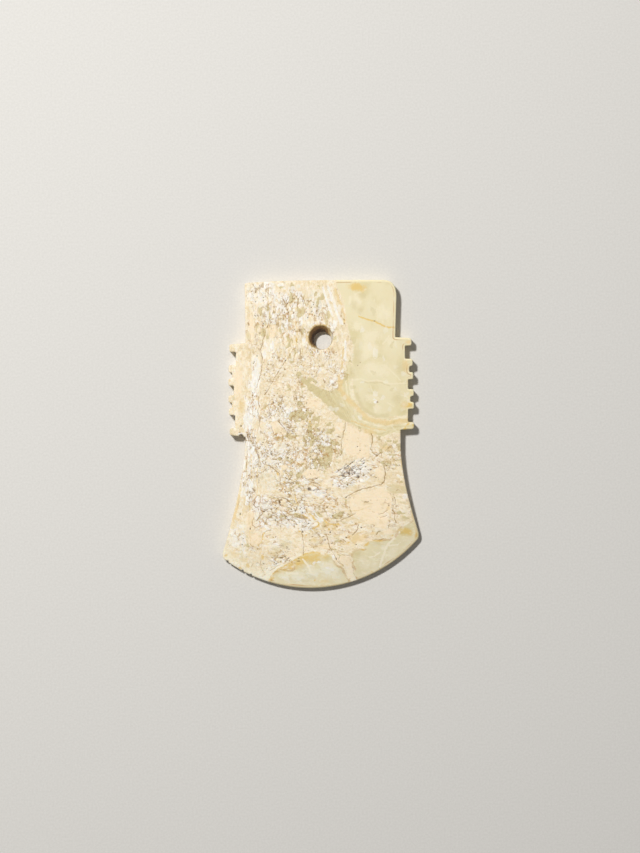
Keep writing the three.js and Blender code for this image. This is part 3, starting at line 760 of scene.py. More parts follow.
class Face:
    """One face in plan: points from the rim and the hole's mouth inwards, and triangles."""

    def __init__(self, form, side, spacing, has_details):
        self.form, self.side = form, side
        self.centre, self.radius = form.mouths[side]
        self.rim_count, self.border_count = len(form.rim), len(form.rim) + HOLE_SIDES
        rings = [inward(form.rim, gap) for gap in RIM_RINGS]
        rings += [self.mouth_ring(0.7 * gap) for gap in RIM_RINGS]
        rings = [self.within(ring, 0.8 * gap) for ring, gap in zip(rings, RIM_RINGS * 2)]
        inner = lattice(form.rim.min(0), form.rim.max(0), spacing, seed=int(spacing * 100))
        if has_details:
            inner = with_details(inner)
        inner = self.within(inner, RIM_RINGS[-1] + 0.4 * spacing)
        self.points = np.vstack([form.rim, self.mouth_ring(0), *rings, inner])
        self.triangles = self.joined()
        self.rim_distance = np.maximum(inside_distance(self.points, form.rim), 0)
        self.rim_distance[: self.rim_count] = 0
        from_mouth = np.hypot(*(self.points - self.centre).T) - self.radius
        self.mouth_distance = np.maximum(from_mouth, 0)
        self.edge_distance = np.minimum(self.rim_distance, self.mouth_distance)

    def mouth_ring(self, gap):
        """A ring of points round the hole's mouth, that far outside it."""
        return circle(self.centre, self.radius + gap, HOLE_SIDES)

    def within(self, points, gap):
        """The points that lie further than the gap from the rim, and nearly so from the mouth."""
        from_mouth = np.hypot(*(points - self.centre).T) - self.radius
        points = points[from_mouth > 0.7 * gap]
        return points[inside_distance(points, self.form.rim) > gap]

    def joined(self):
        """Triangles over the points, as index triples, none in the hole or past the rim."""
        rim, border = self.rim_count, self.border_count
        ring = [(i, (i + 1) % rim) for i in range(rim)]
        ring += [(i, i + 1 if i + 1 < border else rim) for i in range(rim, border)]
        made = delaunay_2d_cdt(self.points.tolist(), ring, [], 0, 1e-6, True)
        first = np.array([origins[0] for origins in made[3]])
        triangles = first[np.array(made[2])]
        on_border = (triangles < border).all(1)
        middles = self.points[triangles[on_border]].mean(1)
        outside = inside_distance(middles, self.points[:rim]) < 0
        outside |= inside_distance(middles, self.points[rim:border]) > 0
        keep = np.ones(len(triangles), bool)
        keep[np.flatnonzero(on_border)[outside]] = False
        return triangles[keep]

    def heights(self):
        """The face's height above or below the middle, before any relief."""
        half = self.form.half_thickness(self.points)
        drop = rounded_off(self.rim_distance, self.form.arris(self.points))
        return half - drop - rounded_off(self.mouth_distance, MOUTH_ARRIS)


def with_details(points):
    """The points, with finer ones in their place along the cracks and gashes and in the pits."""
    lines = CRACK_LINES + GASH_LINES
    details = []
    for width, line in lines:
        side = sideways(np.gradient(line, axis=0)) * width / 2
        details += [line, line + side, line - side]
    for x, y, length, *rest in PITS:
        centre = np.array([x, y])
        size = (length + (rest[0] if rest else length)) / 2
        details += [centre[None], circle(centre, 0.55 * size, 6), circle(centre, size, 10)]
    details = np.vstack(details)
    kept = np.unique(np.round(details / DETAIL_SPACING), axis=0, return_index=True)[1]
    details = details[np.sort(kept)]
    points = points[marks_field(points, PITS) < -0.5]
    gaps = [distance_to_line(points, line) - width / 2 for width, line in lines]
    return np.vstack([details, points[np.min(gaps, 0) > DETAIL_MARGIN]])


# ---------------------------------------------------------------- fields and relief

CRUMB_SPREAD = 0.7  # how far a crumb's own number shifts a field


def clear_distance(points):
    """How far inside the clear jade a point is; negative in the altered stone."""
    moved = wandered(points, 0.35, 1.7, seed=11)
    zones = (CLEAR_BOWL, CLEAR_EDGE_BAY, CLEAR_HORN_BAY)
    return np.max([inside_distance(moved, zone) for zone in zones], 0)


def band_fields(points):
    """How far inside the band a point is, and its share of the way down from the bowl.

    The share is less towards the right, where the band is paler.
    """
    moved = wandered(points, 0.4, 1.5, seed=21)
    inside = inside_distance(moved, BAND_BORDER + BAND_UPPER_END)
    below = distance_to_line(moved, BAND_BORDER)
    above = np.abs(inside_distance(moved, CLEAR_BOWL))
    share = above / (above + below + 0.01)
    return np.clip(inside, -3, 3), share * (1 - 0.6 * smooth_step(points[:, 0], 8, 14))


def flow_field(points):
    """Which way the grain runs: -1 where it stands upright, 1 where it lies level.

    It stands upright in the upper part and down the left side, and lies level on the blade.
    """
    x, y = points.T
    upright = np.maximum(smooth_step(y, 22, 34), smooth_step(-x, 21, 25))
    level = smooth_step(-y + 0.25 * x, 12, 20) * (1 - upright)
    return level - upright * smooth_step(y, -40, -30)


def crust_height(points, seed):
    """The weathered skin's height from 0 to 1, drawn out along the stone's grain."""
    flow = flow_field(points)
    upright = layered_noise(points, 0.95, seed, 4, turn=96, stretch=2.2)
    slanting = layered_noise(points, 0.95, seed + 7, 4, turn=18, stretch=1.9)
    even = layered_noise(points, 1.15, seed + 14, 4)
    left, low = np.clip(-flow, 0, 1), np.clip(flow, 0, 1)
    mixed = left * upright + low * slanting + (1 - left - low) * even
    return np.clip(0.5 + 0.75 * mixed, 0, 1)


def share_of(points, areas):
    """The greatest share that any area gives a point."""
    points = wandered(points, 2.2, 6, seed=33)
    shares = [
        share * smooth_step(marks_field(points, marks), -0.3, 0.3) for share, marks in areas
    ]
    return np.max(shares, 0)


def scattered(share):
    """The field value at which that share of the crumbs passes the material's test."""
    return CRUMB_SPREAD * (2 * share - 1)


def brokenness(points, clear, smooth):
    """How strongly weathering has broken up the skin, from 0 to 1."""
    drift = 0.85 + 0.5 * layered_noise(points, 4, seed=31)
    stone = 1 - smooth_step(clear, -0.4, 0.6)
    areas = 0.2 + 0.8 * share_of(points, ROUGH_AREAS)
    return np.clip(areas * drift, 0, 1) * stone * (1 - 0.6 * smooth)


def zone_fields(points):
    """The fields of the stone's zones and grain, which run through to every side."""
    band, streak = band_fields(points)
    return {
        "clear": clear_distance(points),
        "band": band,
        "streak": streak,
        "flow": flow_field(wandered(points, 2, 3, seed=45)),
    }


def upper_fields(points):
    """Every field of the upper face, by name."""
    near = wandered(points, 0.16, 0.7, seed=41)
    wide = wandered(points, 0.3, 1.4, seed=43)
    zones = zone_fields(points)
    clear, band = zones["clear"], zones["band"]
    smooth = patches_field(near, SMOOTH_PATCHES)
    pink = np.maximum(marks_field(wide, PINK_CREAM), smooth)
    calm = smooth_step(pink, -0.2, 0.3)
    stone = (1 - smooth_step(clear, -0.3, 0.3)) * (1 - smooth_step(band, -0.5, 0.5)) * (1 - calm)
    olive = np.maximum(marks_field(wide, OLIVE), lines_field(near, OLIVE_LINES))
    olive = np.minimum(np.maximum(olive, patches_field(near, OLIVE_PATCHES)), 0.6)
    chalk = np.maximum(marks_field(wide, CHALK), lines_field(near, CHALK_LINES))
    bare = stone * (1 - 0.8 * smooth_step(olive, -0.1, 0.4))
    peach = np.maximum(marks_field(wide, PEACH), lines_field(wide, PEACH_LINES))
    ochre = np.maximum(marks_field(wide, OCHRE), 0.5 * patches_field(wide, OCHRE_PATCHES, 2.0))
    grey = np.minimum(patches_field(wide, GREY_PATCHES), 0.15)
    green = np.maximum(marks_field(wide, GREEN), lines_field(wide, GREEN_LINES))
    return {
        **zones,
        "pink": pink,
        "peach": np.maximum(peach, lines_field(near, TAN_LINES)),
        "ochre": np.maximum(ochre, lines_field(near, RUST_LINES)),
        "olive": np.maximum(olive, scattered(stone * share_of(points, MOSSY_AREAS))),
        "chalk": np.maximum(chalk, scattered(bare * share_of(points, CHALKY_AREAS))),
        "vein": lines_field(near, VEINS),
        "milk": np.maximum(marks_field(wide, MILK), lines_field(near, MILK_LINES)),
        "grey": np.maximum(grey, marks_field(wide, FROST)),
        "green": np.maximum(green, patches_field(near, GREEN_PATCHES)),
        "brown": marks_field(near, BROWN),
        "pit": np.maximum(
            marks_field(points, PITS), lines_field(points, GASH_LINES) - GASH_FAINTNESS
        ),
        "crack": lines_field(points, CRACK_LINES),
        "crust": crust_height(points, seed=51),
        "broken": brokenness(points, clear, calm),
    }


# The fields that are plain noise on the sides and the lower face: (cell, seed, taken off).
PLAIN_NOISE = {
    "pink": (6, 61, 0.3),
    "peach": (5, 64, 0.55),
    "ochre": (2.4, 67, 0.95),
    "milk": (5, 82, 0.4),
    "green": (4, 85, 0.5),
    "brown": (0.8, 76, 1.1),
}


def plain_fields(points):
    """Fields for the sides and the lower face: the same zones come through, without the marks."""
    fields = zone_fields(points)
    clear = fields["clear"]
    stone = 1 - smooth_step(clear, -0.3, 0.3)
    fields["band"] = fields["band"] - 0.5
    for name, (cell, seed, taken_off) in PLAIN_NOISE.items():
        fields[name] = layered_noise(points, cell, seed) - taken_off
    for name in ("vein", "grey", "pit", "crack"):
        fields[name] = np.full(len(points), -1.0)
    fields["olive"] = scattered(stone * (0.15 + 0.3 * layered_noise(points, 6, seed=70)))
    fields["chalk"] = scattered(stone * (0.18 + 0.3 * layered_noise(points, 7, seed=73)))
    fields["crust"] = crust_height(points, seed=79)
    fields["broken"] = 0.8 * brokenness(points, clear, smooth_step(fields["pink"], -0.2, 0.4))
    return fields


def relief(points, fields, edge_distance):
    """How far the face is carved down at each point, in mm."""
    crust = fields["broken"] * (1 - smooth_step(fields["crust"], 0.3, 0.62))
    swell = 0.5 + 0.5 * layered_noise(points, 11, seed=91, layers=2)
    depth = CRUST_DEPTH * crust + SWELL_DEPTH * swell
    depth -= CHALK_RISE * smooth_step(fields["chalk"], 0, 0.4)
    depth += CRACK_DEPTH * smooth_step(fields["crack"], 0, 1)
    depth += PIT_DEPTH * smooth_step(fields["pit"], 0, 0.7)
    depth += BROWN_DEPTH * smooth_step(fields["brown"], 0, 0.6)
    return np.maximum(depth, 0) * smooth_step(edge_distance, 0, RELIEF_MARGIN)


def hole_deposit_and_shade(points, form, distance, share):
    """How strongly old deposit and painted shade darken the hole: most at the neck's upper left."""
    upper_left = (-0.72, 0.69)
    gap = points - form.neck
    facing = gap @ upper_left / np.hypot(*gap.T)
    # The wall at the neck's upper left faces away from the key light, so the painted shade is strongest
    # there.
    side = 0.12 + 0.88 * smooth_step(facing, -0.45, 0.85)
    outside = smooth_step(distance + 0.5 * layered_noise(points, 1.1, seed=95), -0.2, 1.4)
    return side * (1 - 0.6 * abs(share)) * (1 - outside)


# ---------------------------------------------------------------- the mesh


class Skin:
    """Points with their fields, and the triangles over them, as they are gathered."""

    def __init__(self, form):
        self.form = form
        self.places, self.fields, self.triangles = [], [], []
        self.count = 0

    def add(self, places, fields, deposit_and_shade, rim):
        """Adds points with their fields, and returns their indices."""
        every = np.ones(len(places))
        thin = 1 - self.form.half_thickness(places[:, :2]) / self.form.half
        self.places.append(places)
        self.fields.append({**fields, "thin": thin, "deposit_and_shade": deposit_and_shade * every, "rim": rim * every})
        first, self.count = self.count, self.count + len(places)
        return np.arange(first, self.count)

    def add_face(self, face, fields):
        """Adds one face, carved, and returns the indices of its rim and its mouth."""
        height = face.heights() - relief(face.points, fields, face.edge_distance)
        places = np.column_stack([face.points, face.side * height])
        deposit_and_shade = hole_deposit_and_shade(face.points, self.form, face.mouth_distance, 1)
        index = self.add(places, fields, deposit_and_shade, face.rim_distance)
        self.triangles.append(index[face.triangles[:, :: face.side]])
        return index[: face.rim_count], index[face.rim_count : face.border_count]

    def add_strip(self, upper, lower):
        """Adds triangles between two rings of indices, the first one above, facing out."""
        right, below = np.roll(upper, -1), np.roll(lower, -1)
        self.triangles.append(np.stack([upper, lower, below], 1))
        self.triangles.append(np.stack([upper, below, right], 1))

    def build(self, name):
        """The mesh, with its fields as attributes."""
        places = np.vstack(self.places)
        places[:, 2] += self.form.middle
        mesh = bpy.data.meshes.new(name)
        mesh.from_pydata((places * MM).tolist(), [], np.vstack(self.triangles).tolist())
        mesh.polygons.foreach_set("use_smooth", np.ones(len(mesh.polygons), bool))
        for field in self.fields[0]:
            attribute = mesh.attributes.new(field, "FLOAT", "POINT")
            values = np.concatenate([fields[field] for fields in self.fields])
            attribute.data.foreach_set("value", values.astype(np.float32))
        mesh.update()
        return mesh


def build_piece(form):
    """The axe head as one closed mesh."""
    skin = Skin(form)
    upper = Face(form, 1, UPPER_SPACING, has_details=True)
    lower = Face(form, -1, LOWER_SPACING, has_details=False)
    upper_rim, upper_mouth = skin.add_face(upper, upper_fields(upper.points))
    lower_rim, lower_mouth = skin.add_face(lower, plain_fields(lower.points))

    above = upper_rim
    for ring in form.rim_rings():
        index = skin.add(ring, plain_fields(ring[:, :2]), deposit_and_shade=0, rim=0)
        skin.add_strip(above, index)
        above = index
    skin.add_strip(above, lower_rim)

    inside, far_from_rim = np.full(HOLE_SIDES, -1), 9
    above = upper_mouth
    for share, ring in form.hole_rings():
        deposit_and_shade = hole_deposit_and_shade(ring[:, :2], form, inside, share)
        index = skin.add(ring, plain_fields(ring[:, :2]), deposit_and_shade, far_from_rim)
        skin.add_strip(index, above)
        above = index
    skin.add_strip(lower_mouth, above)

    return in_scene(bpy.data.objects.new(PIECE + "_jade", skin.build(PIECE + "_skin")))

# ---------------------------------------------------------------- the material


def colour(red, green, blue):
    """An sRGB colour, 0 to 255, as the linear colour that a shader takes."""
    share = np.array([red, green, blue]) / 255
    linear = np.where(share > 0.04045, ((share + 0.055) / 1.055) ** 2.4, share / 12.92)
    return (*linear.tolist(), 1.0)


# The altered stone.
BUFF = colour(243, 226, 193)
CREAM = colour(248, 231, 199)
PALE = colour(252, 243, 222)
TAN = colour(227, 204, 156)
CHALK_WHITE = colour(252, 248, 238)
GREY_CHALK = colour(242, 236, 224)
GREY_GREEN = colour(244, 240, 222)
PINK = colour(251, 230, 196)
PEACHY = colour(234, 205, 143)
OCHRE_TINT = colour(230, 192, 96)
OLIVE_TINT = colour(213, 197, 146)
OLIVE_DEEP = colour(202, 185, 132)

# The clear jade.
CELADON = colour(234, 221, 180)
CELADON_LIGHT = colour(237, 226, 188)
CELADON_DEEP = colour(225, 211, 163)
MILKY = colour(244, 232, 199)
VEIN_TINT = colour(254, 242, 216)
# Painted glow along the clear jade's rim.
PAINTED_RIM_GLOW = colour(252, 239, 196)
LIP_TINT = colour(214, 196, 148)
# Painted glow where the edge is ground thin; its frost takes the same colour.
THIN_LIGHT = colour(255, 246, 218)

# Breaks, pits, and the hole's deposit with painted shade.
NET_TINT = colour(170, 134, 68)
NET_ORANGE = colour(196, 149, 82)
SPECK_TINT = colour(130, 100, 54)
CRACK_TINT = colour(160, 122, 60)
BROWN_TINT = colour(150, 112, 62)
PIT_TINT = colour(84, 58, 24)
# Deposit in the hole, darkened further with painted shade on its unlit wall.
DEPOSIT_AND_SHADE_PALE = colour(204, 174, 114)
DEPOSIT_AND_SHADE = colour(140, 104, 60)
DEPOSIT_AND_SHADE_DARK = colour(66, 46, 28)


class Paint:
    """Builds a material's nodes: each call adds one or more and returns what they give."""

    def __init__(self, name):
        self.material = bpy.data.materials.new(name)
        self.material.use_nodes = True
        self.tree = self.material.node_tree
        self.surface = self.tree.nodes["Principled BSDF"].inputs

    def node(self, kind, inputs, output=0, **settings):
        """Adds a node with its settings and inputs, and returns one of its outputs."""
        made = self.tree.nodes.new("ShaderNode" + kind)
        for name, value in settings.items():
            setattr(made, name, value)
        for name, value in inputs.items():
            self.give(made.inputs[name], value)
        return made.outputs[output]

    def give(self, socket, value):
        """Sets a socket, or links it where the value is another node's output."""
        if isinstance(value, bpy.types.NodeSocket):
            self.tree.links.new(value, socket)
        else:
            socket.default_value = value

    def field(self, name):
        return self.node("Attribute", {}, "Fac", attribute_name=name)

    def place(self):
        """The place on the object, in mm."""
        inputs = {0: self.node("TexCoord", {}, "Object"), "Scale": 1 / MM}
        return self.node("VectorMath", inputs, "Vector", operation="SCALE")

    def noise(self, place, cell, detail=2.0, roughness=0.5, output="Fac"):
        inputs = {"Vector": place, "Scale": 1 / cell, "Detail": detail, "Roughness": roughness}
        return self.node("TexNoise", inputs, output)

    def vector(self, operation, a, b, c=(0, 0, 0)):
        return self.node("VectorMath", {0: a, 1: b, 2: c}, operation=operation)

    def shifted(self, place, by):
        """The same place, moved by so many mm, so that noise there has another pattern."""
        return self.vector("ADD", place, (by, by, by))

    def bent(self, place, cell, reach):
        """The place, pushed about by noise, so that patterns lose their even shapes."""
        push = self.noise(place, cell, 3.0, output="Color")
        return self.vector("MULTIPLY_ADD", push, (reach, reach, reach), place)

    def crumbs(self, place, cell):
        """Broken pieces a cell wide: two random numbers for each, and the gap to its edge."""
        inputs = {"Vector": place, "Scale": 1 / cell}
        shade = self.node("TexVoronoi", inputs, "Color")
        split = self.node("SeparateColor", {0: shade})
        edge = self.node("TexVoronoi", inputs, "Distance", feature="DISTANCE_TO_EDGE")
        return split, split.node.outputs[1], self.math("MULTIPLY", edge, cell)

    def math(self, operation, a, b=0.0, c=0.0):
        return self.node("Math", {0: a, 1: b, 2: c}, operation=operation)

    def sum_of(self, *terms):
        """The sum of (socket, factor) terms, and of plain numbers."""
        total = 0.0
        for term in terms:
            value, factor = term if isinstance(term, tuple) else (term, 1.0)
            total = self.math("MULTIPLY_ADD", value, factor, total)
        return total

    def product(self, value, *others):
        for other in others:
            value = self.math("MULTIPLY", value, other)
        return value

    def inverse(self, share):
        return self.math("SUBTRACT", 1.0, share)

    def step(self, value, low, high, top=1.0):
        """0 below low and top above high, easing in between."""
        inputs = {"Value": value, "From Min": low, "From Max": high, "To Max": top}
        return self.node("MapRange", inputs, interpolation_type="SMOOTHSTEP")

    def mix(self, share, a, b):
        return self.node("Mix", {0: share, 6: a, 7: b}, 2, data_type="RGBA")

    def over(self, under, tint, value, low, high, top=1.0, within=()):
        """A tint laid over a colour as a value goes from low to high, within other shares."""
        return self.mix(self.product(self.step(value, low, high, top), *within), under, tint)

    def ramp(self, value, stops):
        """Colours at (position, colour) stops, for a value from 0 to 1."""
        output = self.node("ValToRGB", {0: value})
        elements = output.node.color_ramp.elements
        for _ in stops[2:]:
            elements.new(0.5)
        for element, (position, shade) in zip(elements, stops):
            element.position = position
            element.color = shade
        return output


class JadePaint(Paint):
    """Altered, chalky stone with clear jade, stains, cracks and pits, all from the fields."""

    def __init__(self):
        super().__init__("jade")
        self.at = self.place()
        self.add_noises()
        self.thin = self.field("thin")
        self.clear = self.sum_of(self.field("clear"), (self.wobble, 0.6))
        self.is_clear = self.step(self.clear, -0.25, 0.25)
        self.broken = self.sum_of(self.field("broken"), (self.wobble, 0.35))
        self.is_broken = self.step(self.broken, 0.1, 0.75)
        off_band = self.inverse(self.step(self.field("band"), -0.3, 0.3))
        self.in_stone = self.product(off_band, self.inverse(self.is_clear))
        specks = self.sum_of(self.speck, (self.is_broken, 0.1))
        self.specks = self.product(self.step(specks, 0.72, 0.8, 0.85), self.in_stone)

        skin = self.mix(self.is_clear, self.stone(), self.clear_jade())
        layers = (self.with_band, self.with_marks, self.with_breaks, self.with_cracks)
        for layer in (*layers, self.with_thin_edge, self.with_rim, self.with_deposit_and_shade):
            skin = layer(skin)
        self.finish(skin)

    def add_noises(self):
        """Noise and crumbs of several sizes, most of them drawn out along the grain."""
        along = self.along_grain()
        self.grain = self.noise(self.at, 0.7, 2, 0.6)
        self.broad = self.noise(self.at, 7, 2)
        self.small = self.noise(along, 1.2, 3, 0.6)
        self.drift = self.noise(self.shifted(along, 31), 3.2, 4, 0.65)
        self.speck = self.noise(self.shifted(along, 57), 0.55, 2, 0.5)
        self.stipple = self.noise(self.shifted(along, 83), 1.1, 2, 0.7)
        self.wobble = self.sum_of((self.small, 1.1), (self.grain, 0.9), -1.0)
        bent = self.bent(along, 1.1, 1.3)
        self.crumb, self.crumb_too, self.gap = self.crumbs(bent, 1.5)
        self.fine, self.fine_too, self.fine_gap = self.crumbs(self.shifted(bent, 13), 0.75)
        self.plate_gap = self.crumbs(self.bent(self.at, 3, 3.5), 4.2)[2]

    def along_grain(self):
        """The place, squeezed along the way the stone's grain runs there."""
        flow = self.field("flow")
        upright = self.vector("MULTIPLY", self.at, (1, 0.5, 1))
        turned = {"Vector": self.at, "Angle": math.radians(14)}
        level = self.vector("MULTIPLY", self.node("VectorRotate", turned, "Vector"), (0.55, 1, 1))
        chosen = self.at
        for test, limit, squeezed in (("LESS_THAN", -0.5, upright), ("GREATER_THAN", 0.5, level)):
            choice = {0: self.math(test, flow, limit), 4: chosen, 5: squeezed}
            chosen = self.node("Mix", choice, 1, data_type="VECTOR")
        return chosen

    def stone(self):
        """The altered stone: cream, with drifts of tan, and crumbs with shades of their own."""
        stone = self.mix(self.step(self.broad, 0.35, 0.65), BUFF, CREAM)
        tan = self.sum_of(self.drift, (self.crumb, 0.16), (self.broken, 0.06))
        for layer in [
            (TAN, self.grain, 0.5, 0.66, 0.6),
            (PALE, self.small, 0.5, 0.7, 0.5),
            (TAN, self.stipple, 0.53, 0.62, 0.6),
            (PALE, self.stipple, 0.46, 0.38, 0.6),
            (TAN, tan, 0.62, 0.74, 0.45),
            (PALE, self.field("chalk"), -0.6, 0.1, 0.75),
            (CHALK_WHITE, self.fine, 0.34, 0.56, 0.92, [self.is_broken]),
            (TAN, self.fine_too, 0.82, 0.88, 0.7, [self.is_broken]),
        ]:
            stone = self.over(stone, *layer)
        return stone

    def clear_jade(self):
        """The clear jade: pale green, in soft clouds."""
        cloud = self.sum_of((self.broad, 0.8), (self.drift, 0.3), (self.grain, 0.06), -0.1)
        return self.ramp(cloud, [(0.3, CELADON_DEEP), (0.46, CELADON), (0.72, CELADON_LIGHT)])

    def with_band(self, skin):
        """The band: olive at its lower border, paler towards the bowl, streaked lengthwise."""
        streak = self.field("streak")
        slant = {0: self.at, 1: (0.12, -0.07, 0)}
        along = self.node("VectorMath", slant, "Value", operation="DOT_PRODUCT")
        across = self.math("MULTIPLY", streak, 14.0)
        streaks = self.noise(self.node("CombineXYZ", {0: across, 1: along}), 1.0, 3, 0.6)
        depth = self.sum_of((streak, 0.55), (streaks, 1.2), -0.16)
        stops = [(0.4, MILKY), (0.52, CELADON), (0.68, CELADON_DEEP), (0.86, OLIVE_TINT)]
        inside = self.sum_of(self.field("band"), (self.wobble, 0.8))
        return self.over(skin, self.ramp(depth, stops), inside, -0.1, 0.5, 0.92)

    def with_marks(self, skin):
        """The drawn marks, soft at their edges, or broken off crumb by crumb."""
        wobble = self.wobble
        chipped, chipped_too = (
            self.math("MULTIPLY_ADD", crumb, 2 * CRUMB_SPREAD, -CRUMB_SPREAD)
            for crumb in (self.crumb, self.crumb_too)
        )
        olive = self.mix(self.step(self.small, 0.4, 0.6), OLIVE_TINT, OLIVE_DEEP)
        chalk = self.mix(self.step(self.fine, 0.2, 0.9), GREY_CHALK, CHALK_WHITE)
        # Field, what frays its edge and how far, tint, where it starts, is full, and how full.
        for name, edge, reach, tint, low, high, top in [
            ("grey", wobble, 1.5, GREY_GREEN, -0.2, 0.6, 0.85),
            ("milk", wobble, 1.3, MILKY, -0.2, 0.6, 0.65),
            ("pink", wobble, 0.9, PINK, 0.0, 0.35, 0.8),
            ("peach", wobble, 0.9, PEACHY, -0.3, 0.6, 0.72),
            ("green", wobble, 0.9, OLIVE_TINT, -0.3, 0.9, 0.55),
            ("ochre", wobble, 0.9, OCHRE_TINT, -0.3, 0.6, 0.8),
            ("olive", chipped, 1.0, olive, -0.08, 0.08, 0.85),
            ("chalk", chipped_too, 1.0, chalk, -0.12, 0.12, 0.85),
            ("vein", wobble, 0.7, VEIN_TINT, -0.1, 0.5, 0.85),
            ("brown", wobble, 0.9, BROWN_TINT, 0.0, 0.6, 0.8),
        ]:
            value = self.sum_of(self.field(name), (edge, reach))
            skin = self.over(skin, tint, value, low, high, top)
        return skin

    def with_breaks(self, skin):
        """Fine breaks round crumbs and round larger plates, and scattered dark specks."""
        net = self.mix(self.step(self.broad, 0.45, 0.6), NET_TINT, NET_ORANGE)
        plates = self.sum_of((self.small, 0.8), (self.is_broken, 0.2))
        for distance, far, near, top, where, mask, low, high in [
            (self.gap, 0.24, 0.03, 0.7, self.is_broken, self.small, 0.44, 0.62),
            (self.fine_gap, 0.16, 0.02, 0.62, self.is_broken, self.speck, 0.54, 0.64),
            (self.plate_gap, 0.3, 0.04, 0.68, self.in_stone, plates, 0.44, 0.62),
        ]:
            within = [where, self.step(mask, low, high)]
            skin = self.over(skin, net, distance, far, near, top, within)
        skin = self.over(skin, TAN, self.fine_too, 0.12, 0.05, 0.4, [self.in_stone])
        return self.mix(self.specks, skin, SPECK_TINT)

    def with_cracks(self, skin):
        """The drawn cracks, strong in places and faint in others, and the pits."""
        crack = self.sum_of(self.field("crack"), (self.drift, 3.4), -1.7)
        skin = self.over(skin, CRACK_TINT, crack, -0.3, 1.1, 0.85)
        pit = self.sum_of(self.field("pit"), (self.wobble, 0.6))
        return self.over(skin, PIT_TINT, pit, 0.0, 0.6, 0.8)

    def with_thin_edge(self, skin):
        """A painted glow where the edge is ground thin, frost, and the bays' rusty outline."""
        stained = self.step(self.field("ochre"), -0.3, 0.4, 0.6)
        clarity = self.math("MULTIPLY_ADD", self.is_clear, -0.3, 0.75)
        glow = self.product(self.thin, clarity, self.inverse(stained))
        # Painted glow, the stronger the thinner the edge, and more on the altered stone than on the
        # clear jade.
        skin = self.mix(glow, skin, THIN_LIGHT)
        within = [self.is_clear, self.step(self.thin, 0.02, 0.25)]
        skin = self.over(skin, THIN_LIGHT, self.stipple, 0.52, 0.66, 0.45, within)
        border = self.math("COMPARE", self.clear, 0.25, 0.4)
        within = [border, self.step(self.drift, 0.4, 0.55)]
        return self.over(skin, NET_ORANGE, self.thin, 0.0, 0.1, 0.45, within)

    def with_rim(self, skin):
        """The clear jade's rim: a painted glow, but darker at the cutting edge, with a rusty line."""
        rim = self.field("rim")
        tint = self.mix(self.step(self.thin, 0.3, 0.7), PAINTED_RIM_GLOW, LIP_TINT)
        near = self.sum_of(rim, (self.wobble, 0.3))
        skin = self.over(skin, tint, near, 0.9, 0.1, 0.9, [self.is_clear])
        within = [self.math("COMPARE", rim, 0.95, 0.22), self.is_clear]
        return self.over(skin, NET_ORANGE, self.broad, 0.42, 0.6, 0.55, within)

    def with_deposit_and_shade(self, skin):
        """The old dark deposit in the hole, with painted shade where its wall faces away from the key
        light.
        """
        deposit_and_shade = self.sum_of(self.field("deposit_and_shade"), (self.wobble, 0.3))
        skin = self.over(skin, DEPOSIT_AND_SHADE_PALE, deposit_and_shade, 0.08, 0.3)
        skin = self.over(skin, DEPOSIT_AND_SHADE, deposit_and_shade, 0.28, 0.5)
        return self.over(skin, DEPOSIT_AND_SHADE_DARK, deposit_and_shade, 0.5, 0.8)

    def finish(self, skin):
        """The surface: dull and uneven on the stone, smoother on the clear jade."""
        crests = self.sum_of(
            (self.crumb_too, 0.5), (self.fine, 0.35), (self.grain, 0.5), (self.small, 0.5)
        )
        furrow = self.step(self.gap, 0.25, 0.0, -0.5)
        height = self.sum_of(crests, furrow, (self.specks, -0.8))
        uneven = self.sum_of((self.is_broken, 0.4), (self.is_clear, -0.18), 0.26)
        bump = {"Strength": uneven, "Distance": 0.2 * MM, "Height": height}
        for name, value in {
            "Base Color": skin,
            "Roughness": self.sum_of((self.is_clear, -0.24), (self.grain, 0.2), 0.55),
            "Normal": self.node("Bump", bump, "Normal"),
            "IOR": 1.6,
            "Subsurface Weight": 0.12,
            "Subsurface Radius": (1.0, 0.75, 0.45),
            "Subsurface Scale": 1.0 * MM,
        }.items():
            self.give(self.surface[name], value)


def floor_material():
    paint = Paint("pale_floor")
    shade = paint.noise(paint.place(), 0.8, 3, 0.6)
    tint = paint.ramp(shade, [(0.3, colour(214, 211, 205)), (0.7, colour(222, 219, 213))])
    paint.give(paint.surface["Base Color"], tint)
    paint.give(paint.surface["Roughness"], 0.85)
    return paint.material


# ---------------------------------------------------------------- the studio

# Lengths are in mm here too.
VIEW_HEIGHT = 332.2435  # what the picture takes in from top to bottom
AXE_OFFSET = (0.31, -2.94)  # of the axe's middle from the picture's
CAMERA_HEIGHT = 1500
SENSOR = 36.0
KEY_DIRECTION = (-0.3175, 0.386, 0.866)
KEY_DISTANCE = 1200
KEY_SIZE = 130
KEY_SHARE = 0.8
FILL_SHARE = 0.2
FLOOR_REACH = 3000


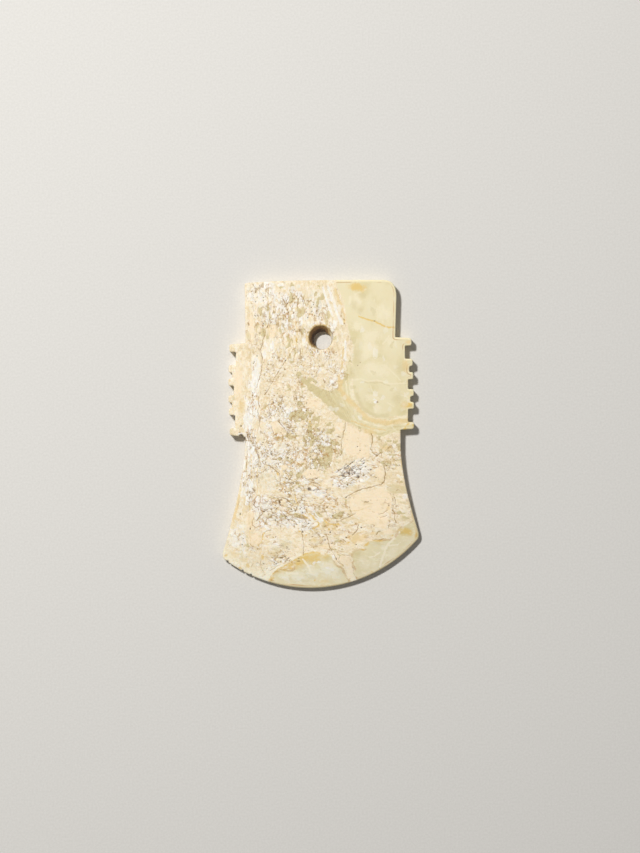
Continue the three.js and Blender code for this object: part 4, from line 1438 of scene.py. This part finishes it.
def in_scene(thing):
    """Puts an object in the scene, and returns it."""
    bpy.context.scene.collection.objects.link(thing)
    return thing


def build_floor(ground):
    """A wide, level floor that the axe head lies on."""
    reach = FLOOR_REACH * MM
    corners = [(-reach, -reach), (reach, -reach), (reach, reach), (-reach, reach)]
    mesh = bpy.data.meshes.new("floor")
    mesh.from_pydata([(x, y, ground) for x, y in corners], [], [(0, 1, 2, 3)])
    mesh.materials.append(floor_material())
    return in_scene(bpy.data.objects.new("floor", mesh))


def light_scene(middle):
    """One firm key light from the upper left, and an even fill from all round."""
    distance = KEY_DISTANCE * MM
    lamp = bpy.data.lights.new("key", "AREA")
    lamp.shape = "DISK"
    lamp.size = KEY_SIZE * MM
    # A white level surface then sends back as much as the picture shows as white.
    lamp.energy = KEY_SHARE * math.pi**2 * distance**2 / KEY_DIRECTION[2]
    key = in_scene(bpy.data.objects.new("key", lamp))
    key.location = [m + distance * d for m, d in zip(middle, KEY_DIRECTION)]
    key.rotation_mode = "QUATERNION"
    key.rotation_quaternion = (key.location - middle).to_track_quat("Z", "Y")

    world = bpy.data.worlds.new("studio")
    world.use_nodes = True
    sky = world.node_tree.nodes["Background"].inputs
    sky["Color"].default_value = (1, 1, 1, 1)
    sky["Strength"].default_value = FILL_SHARE
    bpy.context.scene.world = world


def place_camera(middle):
    """Looks straight down from afar, framed as in the picture."""
    data = bpy.data.cameras.new("camera")
    data.sensor_width = SENSOR
    data.lens = SENSOR * CAMERA_HEIGHT / VIEW_HEIGHT
    data.clip_start, data.clip_end = 0.05, 20
    camera = in_scene(bpy.data.objects.new("camera", data))
    x, y = AXE_OFFSET
    camera.location = (middle.x - x * MM, middle.y - y * MM, middle.z + CAMERA_HEIGHT * MM)
    bpy.context.scene.camera = camera


middle = (cad_low + cad_high) / 2
place_camera(middle)
light_scene(middle)
bpy.context.scene.view_settings.view_transform = "Standard"

form = Form(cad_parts[PIECE].data, *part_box(PIECE))
axe = build_piece(form)
axe.data.materials.append(JadePaint().material)
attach(axe, "root")
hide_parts(PIECE)
build_floor(cad_low.z)
